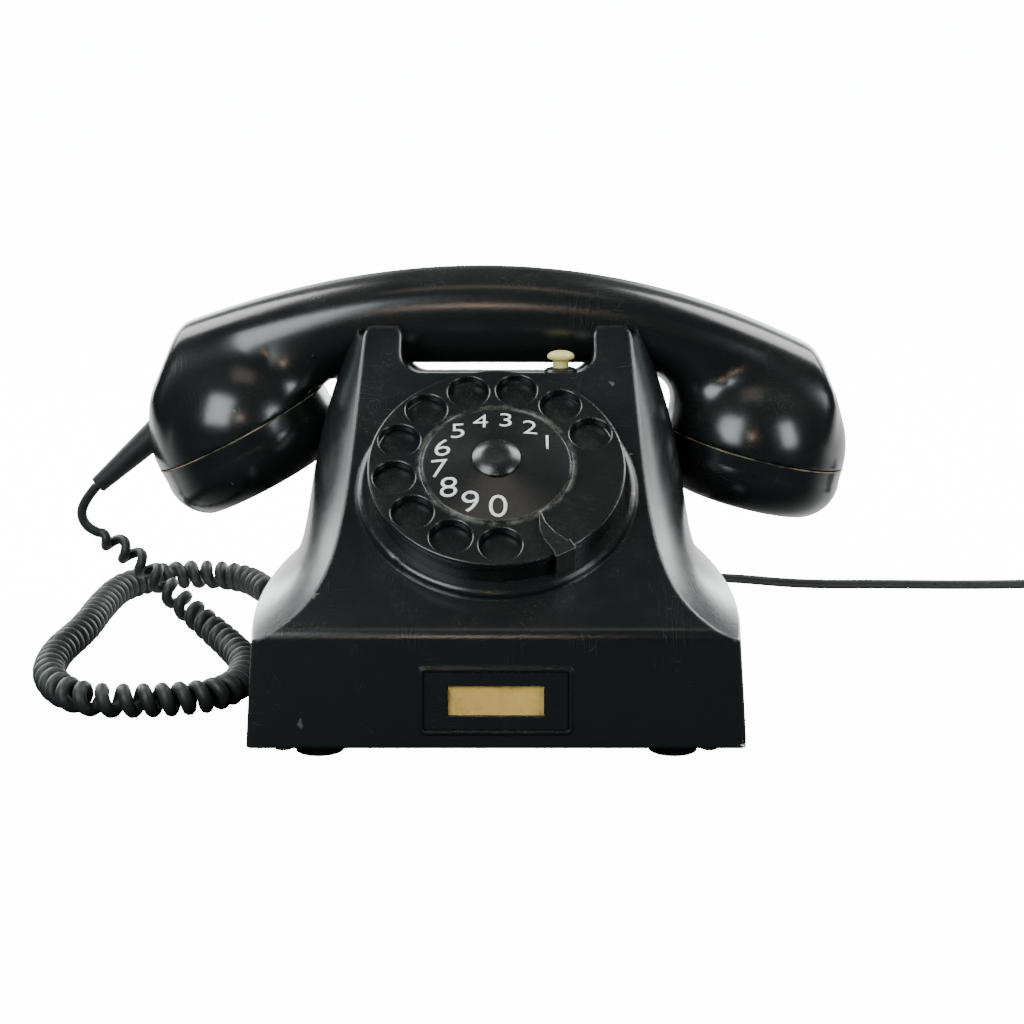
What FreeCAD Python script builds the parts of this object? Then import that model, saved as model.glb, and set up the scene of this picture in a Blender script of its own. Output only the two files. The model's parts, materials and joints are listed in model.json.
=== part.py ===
import FreeCAD, Part
import math
import os

import Sketcher

# Desk telephone with a rotary dial, a fixed cradle with two horns, and a curly handset cord.
# Frame: millimetres, +Z up, the front looks towards -Y, the origin is under the middle of the feet.
# Lengths called *_back are measured from the front wall towards the rear.

Vector = FreeCAD.Vector
Placement = FreeCAD.Placement
Rotation = FreeCAD.Rotation

doc = FreeCAD.newDocument("Telephone")
sheet = doc.addObject("Spreadsheet::Sheet", "Sizes")

SIZES = {
    # housing
    "body_width": 150.8, "body_depth": 170.0, "wall_foot": 4.6, "shoulder_height": 38.0,
    "horn_height": 117.5, "panel_angle": 37.4, "panel_start": 39.8, "wall": 3.0,
    "neck_half": 44.4, "neck_slope": 0.055, "flare_width": 23.8, "flare_fade": 9.4,
    "side_bulge": 61.6, "side_flare": 13.6, "side_draft": 2.4, "rear_lean": 12.5,
    "shoulder_round": 5.0, "horn_round": 2.6, "corner_round": 2.2,
    "notch_half": 32.0, "notch_round": 7.0, "deck_front": 105.0, "deck_fall": 0.139,
    "saddle_back": 129.0, "saddle_half": 19.5, "saddle_floor": 98.2, "roof_height": 91.5,
    "fit_gap": 0.35,
    # base
    "plate_thick": 1.6, "foot_radius": 8.2, "foot_span": 54.0, "foot_front": 13.5,
    "foot_rear": 142.0, "screw_span": 64.5, "screw_front": 7.6, "screw_rear_span": 52.0,
    "screw_rear": 158.0, "screw_head": 3.2, "screw_shank": 1.4, "boss_radius": 4.2,
    # number card
    "card_width": 28.8, "card_height": 9.5, "frame_width": 43.2, "frame_height": 18.0,
    "card_centre": 19.4, "frame_depth": 1.6,
    # dial
    "dial_back": 38.0, "dial_height": 84.0, "hole_level": 12.0, "wheel_radius": 40.0,
    "wheel_thick": 2.6, "hole_circle": 32.0, "hole_radius": 6.45, "hole_pitch": 27.65,
    "first_hole": 23.5, "disc_radius": 23.4, "cone_rise": 2.5, "hub_radius": 7.5,
    "hub_rise": 2.6, "case_radius": 39.0, "collar_radius": 43.6, "collar_height": 2.6,
    "case_gap": 0.8, "shaft_radius": 2.9, "gear_radius": 20.0, "pinion_radius": 5.6,
    "stop_gap": 0.5, "stop_thick": 1.1,
    # earth button
    "button_side": 21.1, "button_back": 99.0, "button_cap": 4.5, "button_stem": 2.7,
    "button_collar": 5.5, "button_top": 110.3,
    # cradle switch
    "plunger_side": 41.0, "plunger_radius": 2.2, "plunger_top": 100.3, "yoke_height": 80.0,
    # ringer
    "gong_radius": 20.5, "gong_side": 27.0, "gong_back": 118.0, "gong_height": 13.0,
    "hammer_back": 88.0, "ringer_coil": 7.5,
    # handset
    "grip_top": 135.4, "grip_height": 33.2, "grip_half": 17.4, "cup_radius": 32.2,
    "mouth_side": 89.6, "mouth_height": 79.3, "mouth_tilt": 27.5, "mouth_cap": 20.6,
    "ear_side": 89.3, "ear_height": 72.8, "ear_tilt": 14.0, "ear_cap": 18.5,
    "cap_taper": 4.4, "handset_wall": 3.2, "capsule_radius": 20.0,
    # cords
    "curl_diameter": 11.2, "wire_diameter": 4.4, "line_diameter": 3.6, "hank_radius": 21.0,
    "plug_axis": 8.0,
}


class Size(float):
    """A length read from the sheet, with the expression that keeps a property bound to it."""

    def __new__(cls, value, text):
        size = float.__new__(cls, value)
        size.text = text
        return size

    def joined(self, sign, value, other):
        return Size(value, f"({self.text} {sign} {text_of(other)})")

    def __add__(self, other):
        return self.joined("+", float(self) + float(other), other)

    def __sub__(self, other):
        return self.joined("-", float(self) - float(other), other)

    def __mul__(self, other):
        return self.joined("*", float(self) * float(other), other)

    def __truediv__(self, other):
        return self.joined("/", float(self) / float(other), other)

    def __neg__(self):
        return Size(-float(self), f"(-1 * {self.text})")


def text_of(number):
    return number.text if isinstance(number, Size) else f"{float(number):.6f}"


class Named:
    """Every size of the sheet under its own name."""


S = Named()
for row, (alias, number) in enumerate(SIZES.items(), start=1):
    sheet.set(f"A{row}", alias)
    sheet.set(f"B{row}", str(number))
    sheet.setAlias(f"B{row}", alias)
    setattr(S, alias, Size(number, f"Sizes.{alias}"))
doc.recompute()

FRONT = -(S.body_depth / 2)
MIRRORED = (-1, 1)
nodes = []


def back(distance):
    """The Y of a place that far behind the front wall."""
    return FRONT + distance


def radians(angle):
    return math.radians(float(angle))


# ---------------------------------------------------------------- document helpers


def bind(thing, **sizes):
    for name, size in sizes.items():
        setattr(thing, name, float(size))
        if isinstance(size, Size):
            thing.setExpression(name, size.text)
    return thing


def put(thing, across, along, up, rotation=None):
    """Places an object; coordinates that come from the sheet stay bound to it."""
    thing.Placement = Placement(Vector(float(across), float(along), float(up)), rotation or Rotation())
    for axis, size in (("x", across), ("y", along), ("z", up)):
        if isinstance(size, Size):
            thing.setExpression(f"Placement.Base.{axis}", size.text)
    return thing


def keep(thing, label):
    thing.Label = label
    nodes.append(thing)
    return thing


def primitive(kind, name, **sizes):
    return bind(doc.addObject(f"Part::{kind}", name), **sizes)


def cylinder(name, radius, height, across, along, up, rotation=None):
    return put(primitive("Cylinder", name, Radius=radius, Height=height), across, along, up, rotation)


def box(name, width, depth, height, across, along, up, rotation=None):
    """A block given by its lowest corner."""
    block = primitive("Box", name, Length=width, Width=depth, Height=height)
    return put(block, across, along, up, rotation)


def fused(name, parts):
    joined = doc.addObject("Part::MultiFuse", name)
    joined.Shapes = parts
    return joined


def grouped(name, parts):
    """Equal small pieces kept in one node."""
    group = doc.addObject("Part::Compound", name)
    group.Links = parts
    return group


def cut(name, base, tool):
    result = doc.addObject("Part::Cut", name)
    result.Base = base
    result.Tool = tool
    return result


def feature(label, shape, placement=None):
    """A piece whose shape is worked out here; its Placement is set after the shape."""
    piece = doc.addObject("Part::Feature", label)
    piece.Shape = shape
    piece.Placement = placement or Placement()
    return keep(piece, label)


# ---------------------------------------------------------------- sketched bodies


def fix_point(sketch, index, position, across, along):
    """Ties a vertex of the sketch to the sheet in both directions."""
    for kind, axis, size in (("DistanceX", -2, across), ("DistanceY", -1, along)):
        if float(size) == 0.0:
            sketch.addConstraint(Sketcher.Constraint("PointOnObject", index, position, axis))
            continue
        number = sketch.addConstraint(
            Sketcher.Constraint(kind, -1, 1, index, position, float(size)))
        if isinstance(size, Size):
            sketch.setExpression(f"Constraints[{number}]", size.text)


def add_polygon(sketch, points):
    first = sketch.GeometryCount
    corners = [Vector(float(a), float(b), 0) for a, b in points]
    for start, end in zip(corners, corners[1:] + corners[:1]):
        sketch.addGeometry(Part.LineSegment(start, end), False)
    for place, (across, along) in enumerate(points):
        index = first + place
        after = first + (place + 1) % len(points)
        sketch.addConstraint(Sketcher.Constraint("Coincident", index, 2, after, 1))
        fix_point(sketch, index, 1, across, along)


def add_circle(sketch, across, along, radius):
    centre = Vector(float(across), float(along), 0)
    index = sketch.addGeometry(Part.Circle(centre, Vector(0, 0, 1), float(radius)), False)
    fix_point(sketch, index, 3, across, along)
    number = sketch.addConstraint(Sketcher.Constraint("Radius", index, float(radius)))
    if isinstance(radius, Size):
        sketch.setExpression(f"Constraints[{number}]", radius.text)


def sketched(body, plane_role, name, polygons=(), circles=()):
    sketch = body.newObject("Sketcher::SketchObject", name)
    plane = [f for f in body.Origin.OriginFeatures if f.Role == plane_role][0]
    sketch.AttachmentSupport = [(plane, "")]
    sketch.MapMode = "FlatFace"
    for points in polygons:
        add_polygon(sketch, points)
    for circle in circles:
        add_circle(sketch, *circle)
    return sketch


def turned(label, points):
    """A body turned about Z from an outline of (radius, height) corners."""
    body = doc.addObject("PartDesign::Body", label)
    sketch = sketched(body, "XZ_Plane", f"{label}_outline", [points])
    spin = body.newObject("PartDesign::Revolution", f"{label}_turn")
    spin.Profile = sketch
    spin.ReferenceAxis = (sketch, ["V_Axis"])
    spin.Angle = 360.0
    return keep(body, label)


def plate(label, thickness, polygons=(), circles=()):
    """A flat body: an outline, any holes in it, and a thickness."""
    body = doc.addObject("PartDesign::Body", label)
    sketch = sketched(body, "XY_Plane", f"{label}_outline", polygons, circles)
    pad = body.newObject("PartDesign::Pad", f"{label}_pad")
    pad.Profile = sketch
    bind(pad, Length=thickness)
    return keep(body, label)


def rectangle(half_width, half_height):
    return [(-half_width, -half_height), (half_width, -half_height),
            (half_width, half_height), (-half_width, half_height)]


# ---------------------------------------------------------------- shape functions


def solid_of_turn(steps):
    """Turns an outline about Z; a step is an end point, or a middle and an end point of an arc."""
    here = Vector(*map(float, (steps[0][0], 0, steps[0][1])))
    start = here
    edges = []
    for step in steps[1:]:
        if len(step) == 4:
            middle = Vector(float(step[0]), 0, float(step[1]))
            there = Vector(float(step[2]), 0, float(step[3]))
            edges.append(Part.Arc(here, middle, there).toShape())
        else:
            there = Vector(float(step[0]), 0, float(step[1]))
            edges.append(Part.LineSegment(here, there).toShape())
        here = there
    edges.append(Part.LineSegment(here, start).toShape())
    face = Part.Face(Part.Wire(edges))
    return face.revolve(Vector(0, 0, 0), Vector(0, 0, 1), 360)


def block(low, high):
    size = [float(b) - float(a) for a, b in zip(low, high)]
    return Part.makeBox(*size, Vector(*map(float, low)))


def rod(radius, start, end):
    path = Vector(*map(float, end)) - Vector(*map(float, start))
    return Part.makeCylinder(float(radius), path.Length, Vector(*map(float, start)), path)


def prism_across(points, half_width, rounds=None):
    """A solid with the same (y, z) outline at every x; rounds gives some corners a radius."""
    rounds = rounds or {}
    corners = [Vector(-half_width, y, z) for y, z in points]
    starts = []
    ends = []
    arcs = []
    for number, corner in enumerate(corners):
        into = (corner - corners[number - 1]).normalize()
        out = (corners[(number + 1) % len(corners)] - corner).normalize()
        radius = rounds.get(number, 0.0)
        turn = into.getAngle(out)
        setback = radius * math.tan(turn / 2)
        starts.append(corner - into * setback)
        ends.append(corner + out * setback)
        middle = corner + (out - into).normalize() * (radius / math.cos(turn / 2) - radius)
        arcs.append(Part.Arc(starts[-1], middle, ends[-1]).toShape() if radius else None)
    edges = []
    for number in range(len(corners)):
        if arcs[number]:
            edges.append(arcs[number])
        after = (number + 1) % len(corners)
        edges.append(Part.LineSegment(ends[number], starts[after]).toShape())
    return Part.Face(Part.Wire(edges)).extrude(Vector(2 * half_width, 0, 0))


# ---------------------------------------------------------------- housing

TILT = radians(S.panel_angle)
SIDE_SPREAD = 0.45      # the widest place of the side, as a share of the way to the rear


def panel_back(height):
    """How far behind the front wall the sloping panel is at this height."""
    return (height - float(S.panel_start)) / math.tan(TILT)


def front_half(height):
    """Half width along the panel's crease: a slight taper, and a flare that meets the shoulder."""
    rise = height - float(S.shoulder_height)
    widen = float(S.body_width) / SIZES["body_width"]
    fade = math.exp(-rise / float(S.flare_fade))
    taper = float(S.neck_slope) * (float(S.horn_height) - height)
    return widen * (float(S.neck_half) + taper + float(S.flare_width) * fade)


def side_half(height):
    """Half width at the fullest place of the side."""
    rise = height - float(S.shoulder_height)
    widen = float(S.body_width) / SIZES["body_width"]
    neck = max(0.0, rise - 20.0)
    return widen * (float(S.side_bulge) - 0.0042 * neck ** 2 + float(S.side_flare) * math.exp(-rise / 8.0))


def rear_half(height):
    """Half width at the rear crease."""
    rise = height - float(S.shoulder_height)
    waist = 8.0 * math.sin(math.pi * min(rise, 80.0) / 80.0) + 1.8 * min(1.0, max(0.0, rise) / 20.0)
    return side_half(height) - 13.6 - waist


def side_curve(height, front, rear, extra):
    """Poles of the parabola that runs along the side at one height, from front to rear."""
    ahead = max(0.0, panel_back(height))
    behind = float(S.body_depth) - float(S.rear_lean)
    middle = ahead + SIDE_SPREAD * (behind - ahead)
    places = ((ahead, front_half(height)), (middle, side_half(height)), (behind, rear_half(height)))

    def width(y):
        total = 0.0
        for i, (at, value) in enumerate(places):
            share = value + extra
            for j, (other, _) in enumerate(places):
                if i != j:
                    share *= (y - other) / (at - other)
            total += share
        return total

    centre = (front + rear) / 2
    control = 2 * width(centre) - (width(front) + width(rear)) / 2
    return ((front, width(front)), (centre, control), (rear, width(rear)))


def level_outline(height, at_height, extra):
    """A closed outline at one height: straight front and rear, full sides."""
    ahead = max(0.0, panel_back(height)) - 3.0
    rear = float(S.body_depth) + 2.0
    poles = side_curve(height, ahead, rear, extra)
    shift = float(FRONT)
    right = [Vector(w, y + shift, at_height) for y, w in poles]
    left = [Vector(-w, y + shift, at_height) for y, w in reversed(poles)]
    edges = []
    for points in (right, left):
        curve = Part.BezierCurve()
        curve.setPoles(points)
        edges.append(curve.toShape())
    rear_edge = Part.LineSegment(right[-1], left[0]).toShape()
    front_edge = Part.LineSegment(left[-1], right[0]).toShape()
    return Part.Wire([edges[0], rear_edge, edges[1], front_edge])


def flank_solid(inset):
    """The body seen from above at every height: plinth below the shoulder, flaring neck above it."""
    shoulder = float(S.shoulder_height)
    foot = float(S.wall_foot)
    low = foot if inset == 0 else foot - 3.0
    draft = float(S.side_draft) * (shoulder - low) / (shoulder - foot)
    plinth = Part.makeLoft([level_outline(shoulder, low, draft - inset),
                            level_outline(shoulder, shoulder, -inset)], True, True)
    top = float(S.horn_height) + 2.0
    levels = [shoulder + rise for rise in (0.0, 1.6, 3.6, 6.4, 10.4, 16.0)]
    steps = math.ceil((top - levels[-1]) / 8.0)
    levels += [levels[-1] + (top - levels[-1]) * (step + 1) / steps for step in range(steps)]
    neck = Part.makeLoft([level_outline(h, h, -inset) for h in levels], True, False)
    return plinth.fuse(neck).removeSplitter()


def side_profile(inset):
    """The body seen from the side: wall, sloping panel, level top, rear with a small plinth."""
    along = inset / math.cos(TILT)
    start = float(S.panel_start)
    top = float(S.horn_height) if inset == 0 else float(S.roof_height)
    foot = float(S.wall_foot) if inset == 0 else float(S.wall_foot) - 2.0
    depth = float(S.body_depth)
    shoulder = float(S.shoulder_height)
    lean = float(S.rear_lean)

    def on_panel(height):
        return (height - start + along) / math.tan(TILT)

    points = [(inset, foot), (inset, start - along + inset * math.tan(TILT)), (on_panel(top), top),
              (depth - lean - 2.0 - inset, top), (depth - lean - inset, shoulder + 22.0),
              (depth - lean + 3.0 - inset, shoulder + 9.0), (depth - lean + 7.0 - inset, shoulder + 3.0),
              (depth - 1.6 - inset, shoulder), (depth - inset, foot)]
    return [(y + float(FRONT), z) for y, z in points]


def dial_frame(level=0.0):
    """The dial's own frame: its Z is the panel's normal and its origin is on the panel."""
    normal = Vector(0, -math.sin(TILT), math.cos(TILT))
    centre = Vector(0, float(back(S.dial_back)), float(S.dial_height)) - normal * float(S.hole_level)
    return Placement(centre + normal * level, Rotation(Vector(1, 0, 0), float(S.panel_angle)))


def in_dial(shape, level=0.0):
    placed = shape.copy()
    placed.Placement = dial_frame(level)
    return placed


def deck_height(distance):
    return float(S.deck_front) - float(S.deck_fall) * (distance - panel_back(float(S.deck_front)))


def notch_tool():
    """The gap between the horns: a trough with rounded corners, falling gently to the rear."""
    half = float(S.notch_half)
    length = float(S.body_depth)
    top = 60.0
    trough = block((-half, 0, 0), (half, length, top))
    low_edges = [e for e in trough.Edges
                 if abs(e.CenterOfMass.z) < 1e-6 and abs(abs(e.CenterOfMass.x) - half) < 1e-6]
    trough = trough.makeFillet(float(S.notch_round), low_edges)
    fall = math.degrees(math.atan(float(S.deck_fall)))
    start = panel_back(float(S.deck_front)) - 20.0
    trough.Placement = Placement(Vector(0, float(back(start)), deck_height(start)),
                                 Rotation(Vector(1, 0, 0), -fall))
    return trough


def saddle_tool():
    """The hollow that the grip lies in, right across the body, open at the top."""
    half = float(S.saddle_half)
    centre = float(back(S.saddle_back))
    floor = float(S.saddle_floor)
    reach = float(S.body_width)
    low = block((-reach, centre - half, floor), (reach, centre + half, floor + 60))
    edges = [e for e in low.Edges
             if abs(e.CenterOfMass.z - floor) < 1e-6 and abs(abs(e.CenterOfMass.y - centre) - half) < 1e-6]
    return low.makeFillet(half * 0.55, edges)


def horn_corners():
    """What the horns lose along their top edges: a quarter round at each outer and inner corner."""
    radius = float(S.horn_round)
    top = float(S.horn_height)
    front = panel_back(top) - 6.0
    tools = []
    for side in MIRRORED:
        for corner, inward in ((front_half(top) + 0.3, -1), (float(S.notch_half), 1)):
            x = side * corner
            centre = x + side * inward * radius
            square = block((min(x - side * inward * 2, centre), back(front), top - radius),
                           (max(x - side * inward * 2, centre), back(front) + 60, top + 2))
            tools.append(square.cut(rod(radius, (centre, back(front) - 1, top - radius),
                                        (centre, back(front) + 61, top - radius))))
    return tools


def screw_places():
    """Centres of the four screws: the two at the front stand wider than the two at the rear."""
    places = []
    for side in MIRRORED:
        places.append((S.screw_span * side, back(S.screw_front)))
        places.append((S.screw_rear_span * side, back(S.screw_rear)))
    return places


def corner_boss(across, along, floor):
    """A boss for a screw, thickened out to the walls of its corner."""
    near = float(S.boss_radius)
    far = 24.0
    out_x = math.copysign(far, across)
    out_y = math.copysign(far, along)
    x_pair = sorted((across - math.copysign(near, across), across + out_x))
    y_pair = sorted((along - math.copysign(near, along), along + out_y))
    return block((x_pair[0], y_pair[0], floor), (x_pair[1], y_pair[1], 24.0))


def card_rim():
    """A thin raised rim round the number card's recess."""
    half = float(S.frame_width) / 2 + 1.3
    tall = float(S.frame_height) / 2 + 1.3
    centre = float(S.card_centre)
    rim = block((-half, float(FRONT) - 0.5, centre - tall), (half, float(FRONT) + 1.0, centre + tall))
    corners = [e for e in rim.Edges if abs(e.tangentAt(e.FirstParameter).y) > 0.99]
    return rim.makeFillet(1.6, corners)


def card_recess():
    gap = float(S.fit_gap) / 2
    half = float(S.frame_width) / 2 + gap
    tall = float(S.frame_height) / 2 + gap
    centre = float(S.card_centre)
    deep = float(S.frame_depth)
    recess = block((-half, float(FRONT) - 2.0, centre - tall), (half, float(FRONT) + deep, centre + tall))
    corners = [e for e in recess.Edges if abs(e.tangentAt(e.FirstParameter).y) > 0.99]
    return recess.makeFillet(0.6, corners)


def round_corners(shape):
    """Rounds the plinth's four upright corners."""
    corners = [e for e in shape.Edges
               if abs(e.tangentAt(e.FirstParameter).z) > 0.9 and e.CenterOfMass.z < float(S.shoulder_height)
               and abs(e.CenterOfMass.x) > 50 and e.Length > 20]
    return shape.makeFillet(float(S.corner_round), corners)


def housing_shape():
    reach = float(S.body_width)
    rounds = {1: float(S.shoulder_round), 2: float(S.horn_round), 3: float(S.horn_round)}
    outer = flank_solid(0.0).common(prism_across(side_profile(0.0), reach, rounds))
    outer = round_corners(outer)
    collar = solid_of_turn([(0, -2.0), (S.collar_radius, -2.0), (S.collar_radius, S.collar_height - 1.6),
                            (S.collar_radius - 0.47, S.collar_height - 0.47,
                             S.collar_radius - 1.6, S.collar_height), (0, S.collar_height)])
    outer = outer.fuse([in_dial(collar), card_rim()])
    wall = float(S.wall)
    hollow = flank_solid(wall).common(prism_across(side_profile(wall), reach))
    shell = outer.cut([hollow, notch_tool(), saddle_tool(), card_recess()])
    opening = solid_of_turn([(0, -9), (S.case_radius - 3.0, -9), (S.case_radius - 3.0, 20), (0, 20)])
    floor = float(S.wall_foot)
    bosses = []
    drills = [in_dial(opening)] + horn_corners()
    for x, y in screw_places():
        bosses.append(corner_boss(x, y, floor + 2.2))
        drills.append(rod(S.screw_shank + 0.1, (x, y, floor), (x, y, 18.0)))
    inside = flank_solid(1.0).common(prism_across(side_profile(1.0), reach))
    shell = shell.fuse([boss.common(inside) for boss in bosses])
    for side in MIRRORED:
        x = S.plunger_side * side
        y = back(S.saddle_back)
        drills.append(rod(S.plunger_radius + S.fit_gap, (x, y, 80.0), (x, y, 110.0)))
    x = S.button_side
    y = back(S.button_back)
    seat = S.button_top - 8.3
    drills.append(rod(S.button_stem + S.fit_gap, (x, y, 80.0), (x, y, 110.0)))
    drills.append(rod(S.button_collar + 0.05, (x, y, seat), (x, y, 112.0)))
    for inlet, way in ((CURL_INLET, CURL_INLET_WAY), (LINE_INLET, LINE_INLET_WAY)):
        outward = tuple(-w for w in way)
        drills.append(rod(CORD_HOLE, inside_of(inlet, outward), inside_of(inlet, way)))
    chip = block((0, 0, 0), (6, 6, 5))
    chip.Placement = Placement(Vector(73.2, float(FRONT) - 1.0, 5.6), Rotation(Vector(0, 1, 0), 24))
    drills.append(chip)
    return shell.cut(drills)


# ---------------------------------------------------------------- cord routes

# The curly cord leaves the handset's boot, drops to the table, makes a wide loop beside the
# telephone and comes back to the left side near the rear. The line cord leaves the rear wall
# and runs to the right to a neat hank and its plug. Distances are behind the front wall.
CORD_HOLE = 4.0
CURL_INLET = (-65.4, 147.0, 13.0)
CURL_INLET_WAY = (-0.97, 0.24, -0.03)
LINE_INLET = (42.0, 169.7, 12.0)
LINE_INLET_WAY = (0.05, 1.0, -0.06)


def world(point):
    """A place given by its distance behind the front wall, in the telephone's frame."""
    return (point[0], float(FRONT) + point[1], point[2])


def inside_of(point, way):
    """A place 14 mm into the wall from an inlet."""
    return tuple(p - 14.0 * w for p, w in zip(world(point), way))


TAIL_TOP_ROUTE = [(-141.5, 129.0, 57.8), (-147.6, 130.0, 51.0), (-147.0, 130.6, 43.6), (-140.4, 131.0, 39.8)]
CURL_ROUTE = [(-140.4, 131.0, 39.8), (-127.0, 138.0, 27.0), (-114.0, 132.0, 15.0), (-96.0, 112.0, 7.0),
              (-83.0, 82.0, 6.1), (-86.0, 50.0, 6.1), (-108.0, 42.5, 6.1), (-134.0, 43.0, 6.1),
              (-148.5, 66.0, 6.1), (-152.0, 96.0, 6.1), (-147.5, 128.0, 6.1), (-147.5, 162.0, 6.1),
              (-144.0, 194.0, 6.1), (-122.0, 210.0, 6.1), (-99.0, 203.0, 6.1), (-87.5, 180.0, 6.1)]
TAIL_LOW_ROUTE = [(-87.5, 180.0, 6.1), (-83.5, 168.0, 7.0), (-80.6, 155.0, 12.0), (-73.4, 149.0, 12.8)]
LINE_ROUTE = [(42.4, 178.2, 11.5), (43.2, 189.0, 9.6), (48.0, 207.0, 3.4), (64.0, 220.0, 2.0),
              (90.0, 219.0, 1.9), (118.0, 208.0, 1.9), (148.0, 208.5, 1.9), (182.0, 207.0, 1.9),
              (216.0, 209.0, 1.9), (246.0, 222.0, 1.9)]


def tube_path(points):
    """Straight runs joined by tangent arcs; each arc is as large as its two runs allow."""
    corners = [Vector(*world(p)) for p in points]
    edges = []
    radii = []
    here = corners[0]
    for before, corner, after in zip(corners, corners[1:], corners[2:]):
        into = (corner - before).normalize()
        out = (after - corner).normalize()
        turn = into.getAngle(out)
        shorter = min((corner - before).Length, (after - corner).Length)
        setback = 0.45 * shorter
        radius = setback / math.tan(turn / 2)
        radii.append(radius)
        start = corner - into * setback
        end = corner + out * setback
        inward = (out - into).normalize()
        middle = corner + inward * (radius / math.cos(turn / 2) - radius)
        edges.append(Part.LineSegment(here, start).toShape())
        edges.append(Part.Arc(start, middle, end).toShape())
        here = end
    edges.append(Part.LineSegment(here, corners[-1]).toShape())
    return Part.Wire(edges), radii


def tube(label, points, diameter):
    """A round tube along a route; its volume is checked against its section times its length."""
    path, radii = tube_path(points)
    way = Vector(*world(points[1])) - Vector(*world(points[0]))
    ring = Part.Wire(Part.makeCircle(float(diameter) / 2, Vector(*world(points[0])), way))
    solid = path.makePipeShell([ring], True, True)
    expected = math.pi * float(diameter) ** 2 / 4 * path.Length
    print(f"{label}: length {path.Length:.1f} mm, radii", [round(r, 1) for r in radii],
          f"volume ratio {solid.Volume / expected:.4f}")
    if abs(solid.Volume / expected - 1) > 0.02:
        raise ValueError(f"{label}: the sweep's volume is wrong")
    return feature(label, solid)


def cords():
    tube("handset_cord_tail_top", TAIL_TOP_ROUTE, S.wire_diameter)
    tube("handset_cord_curl", CURL_ROUTE, S.curl_diameter)
    tube("handset_cord_tail_low", TAIL_LOW_ROUTE, S.wire_diameter)
    tube("line_cord_run", LINE_ROUTE, S.line_diameter)
    hank()


def hank():
    """The put-away length of the line cord: a ring of four turns side by side, three high."""
    end = Vector(*world(LINE_ROUTE[-1]))
    before = Vector(*world(LINE_ROUTE[-2]))
    way = (end - before).normalize()
    aside = Vector(way.y, -way.x, 0)
    half = S.line_diameter * 2
    outer = S.hank_radius + half
    high = S.line_diameter * 2.75
    centre = end + way * 2.0 + aside * float(outer - S.line_diameter / 2)
    ring = solid_of_turn([(S.hank_radius - half, 0), (outer, 0), (outer, high), (S.hank_radius - half, high)])
    feature("line_cord_hank", ring, Placement(Vector(centre.x, centre.y, 0), Rotation()))
    leaves = float(outer - S.line_diameter * 1.5)
    beside = math.sqrt(float(outer) ** 2 - leaves ** 2) - 0.5
    line_plug(centre.x + beside, centre.y + leaves)


def line_plug(across, along):
    """A plain wall plug lying on its side: a tapered nose for the cord, a rounded body, three pins."""
    axis = S.plug_axis
    nose = 12.0
    length = 26.0
    half = 10.5
    body = block((nose, -half, -axis), (nose + length, half, axis))
    body = body.makeFillet(3.0, [e for e in body.Edges if e.BoundBox.XLength > 1 or e.CenterOfMass.x < nose + 1])
    cone = Part.makeCone(2.6, 4.4, nose + 1.0, Vector(0, 0, 0), Vector(1, 0, 0))
    feature("line_plug_body", body.fuse(cone), Placement(Vector(across, along, float(axis)), Rotation()))
    pins = [cylinder(f"plug_pin_{number + 1}", 2.0, 15.0, across + nose + length, along + 6.0 * (number - 1), axis,
                     Rotation(Vector(0, 1, 0), 90)) for number in range(3)]
    keep(grouped("line_plug_pins", pins), "line_plug_pins")


def inlet_grommet(label, place, way, radius, hole):
    """A rubber collar in the wall: a flange outside, a neck through the hole, a tapered nose."""
    shape = solid_of_turn([(hole, -5), (radius - 0.1, -5), (radius - 0.1, 0.6), (radius + 2.0, 0.6),
                           (radius + 2.0, 2.4), (radius - 0.6, 8.5), (hole, 8.5)])
    rotation = Rotation(Vector(0, 0, 1), Vector(*way))
    feature(label, shape, Placement(Vector(*world(place)), rotation))


# ---------------------------------------------------------------- base


def base():
    level = S.wall_foot + 0.2
    inner = S.body_width / 2 - S.wall
    gap = S.fit_gap
    outline = [(-(inner - gap), back(S.wall + gap)), (inner - gap, back(S.wall + gap)),
               (inner - 0.2, back(60.0)), (inner - 4.5, back(115.0)),
               (inner - 14.5, back(S.body_depth - S.wall - gap)),
               (-(inner - 14.5), back(S.body_depth - S.wall - gap)),
               (-(inner - 4.5), back(115.0)), (-(inner - 0.2), back(60.0))]
    holes = [(x, y, S.screw_shank + 0.2) for x, y in screw_places()]
    put(plate("base_plate", S.plate_thick, [outline], holes), 0, 0, level)
    number = 0
    for side in MIRRORED:
        for distance in (S.foot_front, S.foot_rear):
            number += 1
            foot = primitive("Cone", f"foot_{number}", Radius1=S.foot_radius - 0.8,
                             Radius2=S.foot_radius, Height=level)
            keep(put(foot, S.foot_span * side, back(distance), 0), f"foot_{number}")
    screws = []
    for number, (x, y) in enumerate(screw_places(), start=1):
        head = primitive("Cone", f"screw_head_{number}", Radius1=S.screw_head - 0.6,
                         Radius2=S.screw_head, Height=2.6)
        put(head, x, y, level - 2.6)
        shank = cylinder(f"screw_shank_{number}", S.screw_shank, 11.0, x, y, level)
        slot = box(f"screw_slot_{number}", 8.0, 0.7, 0.8, x - 4.0, y - 0.35, level - 2.7)
        whole = fused(f"screw_blank_{number}", [head, shank])
        screws.append(cut(f"base_screw_{number}", whole, slot))
    keep(grouped("base_screws", screws), "base_screws")


# ---------------------------------------------------------------- number card


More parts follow.
